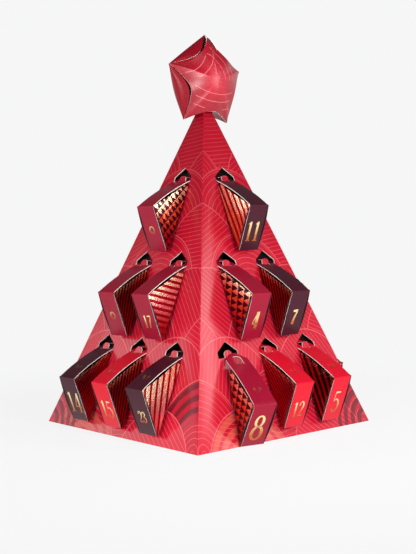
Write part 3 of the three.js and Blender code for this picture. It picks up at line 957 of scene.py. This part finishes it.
def material(name):
    """A shared material, made when it is first asked for."""
    card = bpy.context.scene.calendar_card
    makers = {
        "wall": lambda: wall_print(card),
        "core": lambda: plain_card("card core", card.core, 0.7),
        # Painted shade: the trays' cut edges are darkened to aubergine
        "edge": lambda: plain_card("tray edge in painted shade", card.aubergine, 0.5),
        "board": lambda: plain_card("grey board", card.board, 0.85),
        # Painted shade: the insides are darkened to near black
        "lining": lambda: plain_card("inside in painted shade", card.lining, 0.6),
        "sleeve_aubergine": lambda: sleeve_print("aubergine card", card.aubergine),
        "sleeve_burgundy": lambda: sleeve_print("burgundy card", card.burgundy),
        "sleeve_red": lambda: sleeve_print("bright red card", card.bright),
        "star": lambda: star_print(card),
        "gold": lambda: gold_foil(card),
        "chocolate": lambda: chocolate_bar(card.chocolate),
        "foils": foil_materials,
    }
    if name not in MATERIALS:
        MATERIALS[name] = makers[name]()
    return MATERIALS[name]


def make_card(piece, outside, thickness, edge="core", inside="lining", **settings):
    """Gives a sheet the thickness of its card, with its cut edge and its inside; by default the edge is bare card
    and the inside is dark as painted shade.
    """
    wear(piece, [outside, material(edge), material(inside)])
    shared = {"offset": -1, "use_even_offset": True, "material_offset": 2, "material_offset_rim": 1}
    use(piece, "SOLIDIFY", thickness=thickness, **{**shared, **settings})


def bare_edges(cutter, outside, inside="lining"):
    """Makes a cutter leave bare card wherever it cuts."""
    wear(cutter, [outside, material("core"), material(inside)])
    for polygon in cutter.data.polygons:
        polygon.material_index = 1


# Pieces

class CALENDAR_OT_pyramid(bpy.types.Operator):
    """Folds the pyramid's card and cuts its hooks"""

    bl_idname = "calendar.pyramid"
    bl_label = "Pyramid"

    def execute(self, context):
        size = context.scene.calendar_pyramid
        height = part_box(WALLS[0])[1].z
        shell = square_cone(base_half(), height, 0, "NOTHING")
        edit(shell)
        pick(shell, "EDGE", lambda middle: middle.z > height / 10)
        bpy.ops.mesh.bevel(offset=size.fold, segments=3, affect="EDGES")
        done(shell, "pyramid_card")
        make_card(shell, material("wall"), size.card)
        for vertex in shell.data.vertices:
            vertex.co.z = max(vertex.co.z, 0)
        cutter = self.house(size)
        cut(shell, join([twin(cutter, "cut-out", place) for place in cut_out_frames(size)]))
        bpy.data.objects.remove(cutter)
        frames = [wall_frame(wall) for wall in range(len(WALLS))]

        def to_print(point, normal):
            nearest = max(frames, key=lambda wall: abs(wall.col[2].to_3d().dot(normal)))
            return (nearest.inverted() @ point).to_2d()

        map_print(shell, to_print)
        smooth(shell, 35)
        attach(shell, BODY)
        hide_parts(*WALLS)
        return {"FINISHED"}

    def house(self, size):
        """The house-shaped prism of one cut-out, with room left for its tongue."""
        depth = 10 * size.card
        eaves = -size.cut_roof
        house = arch_prism(size.cut_half, -size.cut_drop, eaves, 0, depth)
        edit(house)
        pick(house, "EDGE", lambda middle: middle.y > eaves - size.card and abs(middle.x) < size.card)
        bpy.ops.mesh.subdivide(number_cuts=1)
        pick(house, "VERT", lambda point: point.y > eaves - size.card and abs(point.x) < size.card)
        bpy.ops.transform.translate(value=(0, size.cut_roof, 0))
        done(house, "house cutter")
        foot = -size.cut_drop - size.card
        tongue = arch_prism(size.tongue_half, foot, -size.tongue_drop, size.tongue_round, 2 * depth)
        cut(house, tongue)
        bare_edges(house, material("wall"))
        return house


def strip_profile(size):
    """The strip's outer surface as (out, up) points: turned-in foot, crease, fold, bowed slope and tab."""
    hook_out = -size.crease_out
    points = [(-0.9 * size.card, 0.5 * size.card), (0.0, 0.0), (size.fold_out, size.fold_up)]
    run = Vector((hook_out - size.fold_out, size.hook_up - size.fold_up))
    away = Vector((run.y, -run.x)).normalized()
    for step in range(1, SLOPE_STEPS):
        share = step / SLOPE_STEPS
        point = Vector((size.fold_out, size.fold_up)) + run * share + away * size.bow * arc(share)
        points.append((point.x, point.y))
    tab = run.normalized()
    hook = Vector((hook_out, size.hook_up))
    points.append(tuple(hook))
    points.append(tuple(hook + tab * size.shoulder))
    points.append(tuple(hook + tab * size.tab))
    return points


def tab_frame(size):
    """The tab's frame: x across, y along the tab from the hook line and z out of its face."""
    run = Vector((0, size.hook_up - size.fold_up, -size.crease_out - size.fold_out)).normalized()
    across = Vector((1, 0, 0))
    return frame_from(across, across.cross(run), Vector((0, size.hook_up, -size.crease_out)))


def model_sleeve(size):
    """One strip of card, creased at its fold, with the hook's hole in its tab."""
    profile = strip_profile(size)
    strip = plane_edge(size.width, *profile[0])
    extrude_along(strip, profile)
    bpy.ops.transform.resize(
        value=(size.tab_tip / size.width, 1, 1), center_override=(0, profile[-1][1], profile[-1][0])
    )
    pick(strip, "EDGE", lambda middle: abs(middle.x) < MM and abs(middle.y - size.fold_up) < MM)
    bpy.ops.mesh.bevel(offset=FOLD_ROUND, segments=3, affect="EDGES")
    pick(strip, "EDGE", lambda middle: abs(middle.x) < MM and abs(middle.y) < 0.1 * MM)
    bpy.ops.mesh.bevel(offset=CREASE_ROUND, segments=2, affect="EDGES")
    done(strip, "sleeve")
    if strip.data.polygons[len(strip.data.polygons) // 2].normal.z < 0:
        strip.data.flip_normals()
    make_card(strip, material("sleeve_red"), size.card)
    hole = arch_prism(size.hole_half, -size.hole_start, size.hole_end, size.hole_round, 8 * size.card)
    bare_edges(hole, material("sleeve_red"))
    hole.data.transform(tab_frame(size))
    cut(strip, hole)
    return smooth(strip)


class CALENDAR_OT_sleeves(bpy.types.Operator):
    """Folds a sleeve strip for each box"""

    bl_idname = "calendar.sleeves"
    bl_label = "Sleeves"

    def execute(self, context):
        size = context.scene.calendar_box
        pattern = model_sleeve(size)
        for number in NUMBERS:
            node = f"sleeve_{number:02d}"
            sleeve = twin(pattern, f"strip_{number:02d}", box_frame(number))
            sleeve.data.materials[0] = material(SLOTS[node])
            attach(sleeve, node)
            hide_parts(node)
        bpy.data.objects.remove(pattern)
        return {"FINISHED"}


def side_place(size, share, level):
    """A point of a tray's side, from its share of the way out and its height above the crease."""
    inner = size.stand_off - size.crease_out
    seat = inner + size.tray_card
    top = size.hook_up - size.tray_top
    if level < size.fold_up:
        rise = level / size.fold_up
        edge = seat + (size.fold_out - seat) * rise
        bulge = size.bulge * math.sin(math.pi * rise) * share * share
    else:
        fall = (level - size.fold_up) / (size.hook_up - size.fold_up)
        edge = size.fold_out - (size.fold_out + size.crease_out) * fall
        whole = (level - size.fold_up) / (top - size.fold_up)
        edge -= size.dip * arc(whole)
        bulge = 0
    out = inner + (edge - inner) * share
    return size.width / 2 + size.side_gap + bulge, level, out


def model_tray(size):
    """Two bulging foiled sides, a back and a short top flap, each one card thick."""
    clear_selection()
    bpy.ops.mesh.primitive_grid_add(x_subdivisions=TRAY_COLUMNS, y_subdivisions=TRAY_ROWS, size=1)
    side = done(bpy.context.object, "tray side")
    top = size.hook_up - size.tray_top
    fold_share = size.fold_up / top
    for vertex in side.data.vertices:
        share, height = vertex.co.x + 0.5, vertex.co.y + 0.5
        on_fold = abs(round(height * TRAY_ROWS) / TRAY_ROWS - fold_share) < 0.5 / TRAY_ROWS
        vertex.co = side_place(size, share, size.fold_up if on_fold else height * top)
    if side.data.polygons[0].normal.x < 0:
        side.data.flip_normals()
    use(side, "MIRROR", use_axis=(True, False, False), use_mirror_merge=False)
    inner, foot, flap = size.stand_off - size.crease_out, 2 * size.card, 0.7 * size.tray_top
    back = plane_edge(size.width + 2 * size.side_gap, inner, foot)
    extrude_along(back, [(inner, foot), (inner, top), (inner + flap, top)])
    done(back, "tray back")
    largest = max(back.data.polygons, key=lambda polygon: polygon.area)
    if largest.normal.z > 0:
        back.data.flip_normals()
    tray = join([side, back])
    map_print(tray, lambda point, normal: (point.z, point.y))
    # The tray's cut edges are painted dark as shade
    make_card(tray, material("foils")["stripes"], size.tray_card, "edge", offset=1, use_even_offset=False)
    return smooth(tray)


class CALENDAR_OT_trays(bpy.types.Operator):
    """Folds a foiled tray for each box and puts its chocolate in"""

    bl_idname = "calendar.trays"
    bl_label = "Trays"

    def execute(self, context):
        size = context.scene.calendar_box
        pattern = model_tray(size)
        sweet = model_chocolate(size)
        for number in NUMBERS:
            node = f"tray_{number:02d}"
            print_name = next(name for name, numbers in TRAY_PRINTS.items() if number in numbers)
            tray = twin(pattern, f"foiled_tray_{number:02d}", box_frame(number))
            tray.data.materials[0] = material("foils")[print_name]
            chocolate = twin(sweet, f"chocolate_{number:02d}", box_frame(number))
            for piece in (tray, chocolate):
                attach(piece, node)
                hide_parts(node)
        bpy.data.objects.remove(pattern)
        bpy.data.objects.remove(sweet)
        return {"FINISHED"}


def model_chocolate(size):
    """A moulded chocolate with a tapered top, a groove round it and a raised middle."""
    wide, long, thick = SWEET_SIZE
    clear_selection()
    bpy.ops.mesh.primitive_cube_add(size=1)
    block = bpy.context.object
    edit(block)
    bpy.ops.transform.resize(value=(wide, long, thick), center_override=(0, 0, 0))
    pick(block, "FACE", lambda middle: middle.z > thick / 3)
    bpy.ops.transform.resize(value=SWEET_TAPER, center_override=(0, 0, thick / 2))
    for width, depth in (SWEET_GROOVE, SWEET_MIDDLE):
        bpy.ops.mesh.inset(thickness=width, depth=depth)
    done(block, "chocolate")
    use(block, "BEVEL", width=SWEET_ROUND, segments=3, limit_method="ANGLE")
    seat = size.stand_off - size.crease_out + size.tray_card
    block.data.transform(Matrix.Translation((0, SWEET_RISE + long / 2, seat + thick / 2)))
    wear(block, [material("chocolate")])
    return smooth(block, 40)


def flat_curve(name, kind):
    """A new flat curve and its one spline."""
    curve = bpy.data.curves.new(name, "CURVE")
    curve.dimensions = "2D"
    piece = bpy.data.objects.new(name, curve)
    bpy.context.scene.collection.objects.link(piece)
    return piece, curve.splines.new(kind)


def stroke(kind, points):
    """One stroke of a numeral: a flat ribbon whose thickness follows its points."""
    piece, spline = flat_curve("stroke", "BEZIER")
    spline.bezier_points.add(len(points) - 1)
    spline.use_cyclic_u = kind == "ring"
    for knot, (across, up, thickness) in zip(spline.bezier_points, points):
        knot.co = (across, up, 0)
        knot.radius = thickness
        knot.handle_left_type = "VECTOR" if kind == "bar" else "AUTO"
        knot.handle_right_type = knot.handle_left_type
    piece.data.resolution_u = 10
    piece.data.bevel_mode = "OBJECT"
    piece.data.bevel_object = bpy.data.objects["nib"]
    only(piece)
    bpy.ops.object.convert(target="MESH")
    piece = bpy.context.object
    clear_selection()
    return piece


def make_nib():
    """The flat nib that draws every stroke."""
    nib, spline = flat_curve("nib", "POLY")
    spline.points.add(1)
    spline.points[0].co = (-0.5, 0, 0, 1)
    spline.points[1].co = (0.5, 0, 0, 1)
    return nib


def model_numeral(text, weight):
    """A numeral one unit tall, flat in its own plane and centred across."""
    strokes = []
    for index, figure in enumerate(text):
        for kind, *points in NUMERALS[figure]:
            shifted = [(x + index * NUMERAL_PITCH, y, w * weight) for x, y, w in points]
            strokes.append(stroke(kind, shifted))
    numeral = join(strokes)
    middle = NUMERAL_PITCH * len(text) / 2
    numeral.data.transform(Matrix.Translation((-middle, 0, 0)))
    map_print(numeral, lambda point, normal: (point.x, point.y))
    return numeral


def panel_frame(size, foot, head):
    """A panel's frame from two places (out, up) on it: x across, y up from the first and z out of it."""
    up = Vector((0, head[1] - foot[1], head[0] - foot[0])).normalized()
    across = Vector((1, 0, 0))
    return frame_from(across, across.cross(up), Vector((0, foot[1], foot[0])))


def model_ring(size):
    """Two thin gold circles, one in the other, flat in their own plane."""
    circles = []
    for share, line in RING_CIRCLES:
        clear_selection()
        bpy.ops.mesh.primitive_circle_add(vertices=48, radius=share * RING_RADIUS, fill_type="NGON")
        circle = bpy.context.object
        edit(circle)
        bpy.ops.mesh.inset(thickness=line)
        bpy.ops.mesh.delete(type="FACE")
        circles.append(done(circle, "ring"))
    ring = join(circles)
    map_print(ring, lambda point, normal: (0, 0.5 + 0.5 * point.y / RING_RADIUS))
    return ring


class CALENDAR_OT_numerals(bpy.types.Operator):
    """Stamps the gold numerals and rings on the sleeves"""

    bl_idname = "calendar.numerals"
    bl_label = "Numerals"

    def execute(self, context):
        size = context.scene.calendar_box
        nib = make_nib()
        ring = model_ring(size)
        crease, fold, hook = (0, 0), (size.fold_out, size.fold_up), (-size.crease_out, size.hook_up)
        front, slope = panel_frame(size, crease, fold), panel_frame(size, fold, hook)
        panel = math.hypot(size.fold_out, size.fold_up)
        run = math.hypot(size.fold_out + size.crease_out, size.hook_up - size.fold_up)
        for number in NUMBERS:
            stamps = []
            if number in RING_FRONTS:
                place = front @ Matrix.Translation((0, panel * RING_FRONT_UP, STAMP_LIFT))
                stamps.append(twin(ring, f"front_ring_{number:02d}", place))
            else:
                tall = NUMERAL_HEIGHTS[number] * MM
                place = front @ Matrix.Translation((0, (panel - tall) * NUMERAL_FOOT, STAMP_LIFT))
                numeral = model_numeral(str(number), NUMERAL_WEIGHTS.get(number, 1))
                numeral.data.transform(place @ Matrix.Diagonal((tall * NUMERAL_WIDTH, tall, 1, 1)))
                stamps.append(done(numeral, f"numeral_{number:02d}"))
            if number in RING_SLOPES:
                lift = size.bow * arc(RING_SLOPE_UP) + STAMP_LIFT
                place = slope @ Matrix.Translation((0, run * RING_SLOPE_UP, lift))
                stamps.append(twin(ring, f"slope_ring_{number:02d}", place))
            node = f"sleeve_{number:02d}"
            for stamp in stamps:
                stamp.data.transform(box_frame(number))
                wear(stamp, [material("gold")])
                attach(stamp, node)
        bpy.data.objects.remove(nib)
        bpy.data.objects.remove(ring)
        return {"FINISHED"}


def star_side(size, turn):
    """The side at a turn of 0 to 1 from the top point: its ends, its mid-angle and the share along it."""
    corner = math.floor(turn * STAR_POINTS)
    step = 2 * math.pi / STAR_POINTS
    angle = math.pi / 2 + corner * step
    start, end = (
        Vector((math.cos(turned), math.sin(turned))) * size.radius for turned in (angle, angle + step)
    )
    return start, end, angle + step / 2, turn * STAR_POINTS - corner


def star_outline(size, turn):
    """A place on the star's edge, half the width of its rim there, and the place straight across."""
    start, end, middle, t = star_side(size, turn)
    chord = size.radius * math.cos(math.pi / STAR_POINTS)
    pull = ((1 + STAR_CREASE_WEIGHT) * size.waist - chord) / STAR_CREASE_WEIGHT
    bend = Vector((math.cos(middle), math.sin(middle))) * pull
    a, b, c = (1 - t) ** 2, 2 * STAR_CREASE_WEIGHT * t * (1 - t), t * t
    place = (start * a + bend * b + end * c) / (a + b + c)
    share, skew = STAR_RIMS[math.floor(turn * STAR_POINTS)]
    return place, size.half_rim * share * arc(t ** skew), start.lerp(end, t)


def place_on_star(size, radius, turn):
    """A place on a star sheet: its dome out to a radius of 1, and past that the side facets behind it."""
    place, rim, straight = star_outline(size, turn)
    if radius <= 1:
        crown = size.half_depth - size.card - rim
        depth = rim + size.card + crown * (1 - radius ** STAR_CROWN_POWER)
        return Vector((place.x * radius, place.y * radius, depth))
    share = 1 - 2 * (radius - 1)
    belly = place.lerp(straight, STAR_BELLIES[math.floor(turn * STAR_POINTS)])
    point = belly.lerp(place, share * share)
    return Vector((point.x, point.y, share * (rim + size.card if share > 0 else rim)))


def star_sheet(size, name, radii):
    """A star sheet facing +Z, drawn in from a circle through rings at falling radii to its middle."""
    count = STAR_POINTS * STAR_EDGE_STEPS
    clear_selection()
    bpy.ops.mesh.primitive_circle_add(vertices=count, radius=radii[0], fill_type="NOTHING")
    sheet = bpy.context.object
    edit(sheet)
    bpy.ops.mesh.select_mode(type="EDGE")
    bpy.ops.mesh.select_all(action="SELECT")
    for outer, inner in zip(radii, radii[1:]):
        bpy.ops.mesh.extrude_edges_move()
        bpy.ops.transform.resize(value=(inner / outer, inner / outer, 1), center_override=(0, 0, 0))
    bpy.ops.mesh.extrude_edges_move()
    bpy.ops.mesh.merge(type="CENTER")
    bpy.ops.mesh.select_all(action="SELECT")
    bpy.ops.mesh.normals_make_consistent(inside=False)
    done(sheet, name)
    if sheet.data.polygons[0].normal.z < 0:
        sheet.data.flip_normals()
    layer = print_layer(sheet)
    for polygon in sheet.data.polygons:
        side = math.floor(star_turn(polygon.center) * STAR_POINTS)
        if polygon.center.length > 1 and side == STAR_TIP_SIDE:
            polygon.material_index = 2
    maps = [
        (vertex.co.length, round(star_turn(vertex.co) * count) / count % 1) for vertex in sheet.data.vertices
    ]
    for loop in sheet.data.loops:
        layer.data[loop.index].uv = maps[loop.vertex_index]
    for vertex, (radius, turn) in zip(sheet.data.vertices, maps):
        vertex.co = place_on_star(size, round(radius, 4), turn)
    return sheet


def star_turn(point):
    """The turn of a point from the top point round to the left, from 0 to 1."""
    return (math.atan2(point.y, point.x) / (2 * math.pi) - 0.25) % 1


def tip_cutter(size):
    """A pointed prism just larger than the pyramid's tip."""
    tip = base_half() / math.tan(WALL_LEAN)
    drop = 2 * size.radius
    reach = drop * math.tan(WALL_LEAN) + size.tip_room / math.cos(WALL_LEAN)
    cutter = done(square_cone(reach, reach / math.tan(WALL_LEAN), tip - drop), "tip cutter")
    bare_edges(cutter, material("star"), "board")
    return cutter


class CALENDAR_OT_star(bpy.types.Operator):
    """Folds the pillow star and sets it on the tip"""

    bl_idname = "calendar.star"
    bl_label = "Star"

    def execute(self, context):
        size = context.scene.calendar_star
        tip = base_half() / math.tan(WALL_LEAN)
        centre = Matrix.Translation((size.shift_across, -size.shift_out, tip + size.rise))
        dome = [1 - ring / STAR_DOME_RINGS for ring in range(STAR_DOME_RINGS)]
        facets = [1 + STAR_FACET_REACH * ring / STAR_FACET_RINGS for ring in range(STAR_FACET_RINGS, 0, -1)]
        for node, radii, about in (("star_front", dome, 0), ("star_back", facets + dome, math.pi)):
            sheet = star_sheet(size, f"{node}_panel", radii)
            make_card(sheet, material("star"), size.card, inside="board")
            turned = Matrix.Rotation(STAR_TURN + about, 4, "Z") @ Matrix.Rotation(math.pi / 2, 4, "X")
            sheet.data.transform(centre @ turned)
            if radii[0] > 1:
                cut(sheet, tip_cutter(size))
            smooth(sheet, 40)
            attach(sheet, "star")
            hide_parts(node)
        return {"FINISHED"}


class CALENDAR_OT_base(bpy.types.Operator):
    """Finishes the base panel in grey board"""

    bl_idname = "calendar.base"
    bl_label = "Base"

    def execute(self, context):
        wear(frame["nodes"]["base_panel"], [material("board")])
        # The braces are painted dark as shade
        for node in ("brace_upper", "brace_lower"):
            wear(frame["nodes"][node], [material("lining")])
        return {"FINISHED"}


class CALENDAR_OT_stage(bpy.types.Operator):
    """Sets the floor, the backdrop, the soft lights and the camera"""

    bl_idname = "calendar.stage"
    bl_label = "Stage"

    def execute(self, context):
        self.set_camera(context)
        self.lay_floor()
        self.set_world(context)
        self.hang_lights()
        context.scene.view_settings.view_transform = "Standard"
        return {"FINISHED"}

    def set_camera(self, context):
        data = bpy.data.cameras.new("camera")
        data.sensor_width = SENSOR
        data.lens = VIEW_FOCAL_PIXELS / FRAME_HEIGHT * SENSOR
        data.clip_start, data.clip_end = VIEW_CLIP
        camera = bpy.data.objects.new("camera", data)
        context.scene.collection.objects.link(camera)
        back = Vector((
            math.sin(VIEW_AZIMUTH) * math.cos(VIEW_ELEVATION),
            -math.cos(VIEW_AZIMUTH) * math.cos(VIEW_ELEVATION),
            math.sin(VIEW_ELEVATION),
        ))
        right = UP.cross(back).normalized()
        target = right * LOOK_ACROSS + UP * LOOK_UP
        turn = Matrix((right, back.cross(right), back)).transposed().to_4x4()
        turn = turn @ Matrix.Rotation(VIEW_ROLL, 4, "Z")
        camera.matrix_world = Matrix.Translation(target + back * VIEW_DISTANCE) @ turn
        context.scene.camera = camera

    def lay_floor(self):
        clear_selection()
        bpy.ops.mesh.primitive_plane_add(size=FLOOR_SIZE)
        floor = done(bpy.context.object, "floor")
        recipe = Recipe("floor", roughness=0.9, specular=0.0)
        recipe.finish(FLOOR_TONE)
        recipe.shader.inputs["Emission Color"].default_value = BACKGROUND
        recipe.shader.inputs["Emission Strength"].default_value = FLOOR_BOUNCE
        away = recipe.distance(recipe.object_place(), (0.0, 0.0, 0.0))
        plainness = recipe.blend(recipe.smoothly(away, *FLOOR_FADE), FLOOR_PLAIN, 1.0)
        rays = recipe.node("ShaderNodeLightPath").outputs
        seen = recipe.most(rays["Is Camera Ray"], rays["Is Glossy Ray"])
        seen = recipe.most(seen, rays["Is Transmission Ray"])
        plain = recipe.node("ShaderNodeEmission", (BACKGROUND, 1.0)).outputs[0]
        share = recipe.times(seen, plainness)
        mixed = recipe.node("ShaderNodeMixShader", (share, recipe.shader.outputs[0], plain)).outputs[0]
        recipe.feed(recipe.tree.nodes["Material Output"].inputs[0], mixed)
        wear(floor, [recipe.material])

    def set_world(self, context):
        """A pale horizon all round that falls off to a dim ceiling."""
        context.scene.world = bpy.data.worlds.new("studio")
        sky = Nodes(context.scene.world)
        up = sky.parts(sky.node("ShaderNodeTexCoord").outputs["Generated"])[2]
        fall = sky.smoothly(up, math.sin(HORIZON_TOP), math.sin(CEILING_FOOT))
        sky.feed(sky.tree.nodes["Background"].inputs[0], sky.mix(fall, BACKGROUND, CEILING))

    def hang_lights(self):
        for name, place, size, power in LAMPS:
            data = bpy.data.lights.new(name, "AREA")
            data.shape = "RECTANGLE"
            data.size, data.size_y = size
            data.energy = power
            lamp = bpy.data.objects.new(name, data)
            lamp.location = place
            lamp.rotation_euler = (LAMP_TARGET - Vector(place)).to_track_quat("-Z", "Y").to_euler()
            lamp.visible_camera = False
            bpy.context.scene.collection.objects.link(lamp)


class CALENDAR_PT_panel(bpy.types.Panel):
    """The calendar's sizes, colours and pieces"""

    bl_idname = "CALENDAR_PT_panel"
    bl_label = "Advent calendar"
    bl_space_type = "VIEW_3D"
    bl_region_type = "UI"
    bl_category = "Calendar"

    def draw(self, context):
        for name in GROUPS:
            box = self.layout.box()
            group = getattr(context.scene, name)
            for key in group.__annotations__:
                box.prop(group, key, text=key.replace("_", " ").capitalize())
        for operator in OPERATORS:
            self.layout.operator(operator.bl_idname)


GROUPS = {
    "calendar_card": CardSettings,
    "calendar_pyramid": PyramidSettings,
    "calendar_box": BoxSettings,
    "calendar_star": StarSettings,
}
OPERATORS = (
    CALENDAR_OT_stage,
    CALENDAR_OT_pyramid,
    CALENDAR_OT_base,
    CALENDAR_OT_trays,
    CALENDAR_OT_sleeves,
    CALENDAR_OT_numerals,
    CALENDAR_OT_star,
)


def register():
    for group in GROUPS.values():
        bpy.utils.register_class(group)
    for name, group in GROUPS.items():
        setattr(bpy.types.Scene, name, bpy.props.PointerProperty(type=group))
    for operator in OPERATORS:
        bpy.utils.register_class(operator)
    bpy.utils.register_class(CALENDAR_PT_panel)


def unregister():
    bpy.utils.unregister_class(CALENDAR_PT_panel)
    for operator in reversed(OPERATORS):
        bpy.utils.unregister_class(operator)
    for name in GROUPS:
        delattr(bpy.types.Scene, name)
    for group in reversed(list(GROUPS.values())):
        bpy.utils.unregister_class(group)


def main():
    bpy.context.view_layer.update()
    register()
    bpy.ops.calendar.stage()
    bpy.ops.calendar.pyramid()
    bpy.ops.calendar.base()
    bpy.ops.calendar.trays()
    bpy.ops.calendar.sleeves()
    bpy.ops.calendar.numerals()
    bpy.ops.calendar.star()


if __name__ == "__main__":
    main()
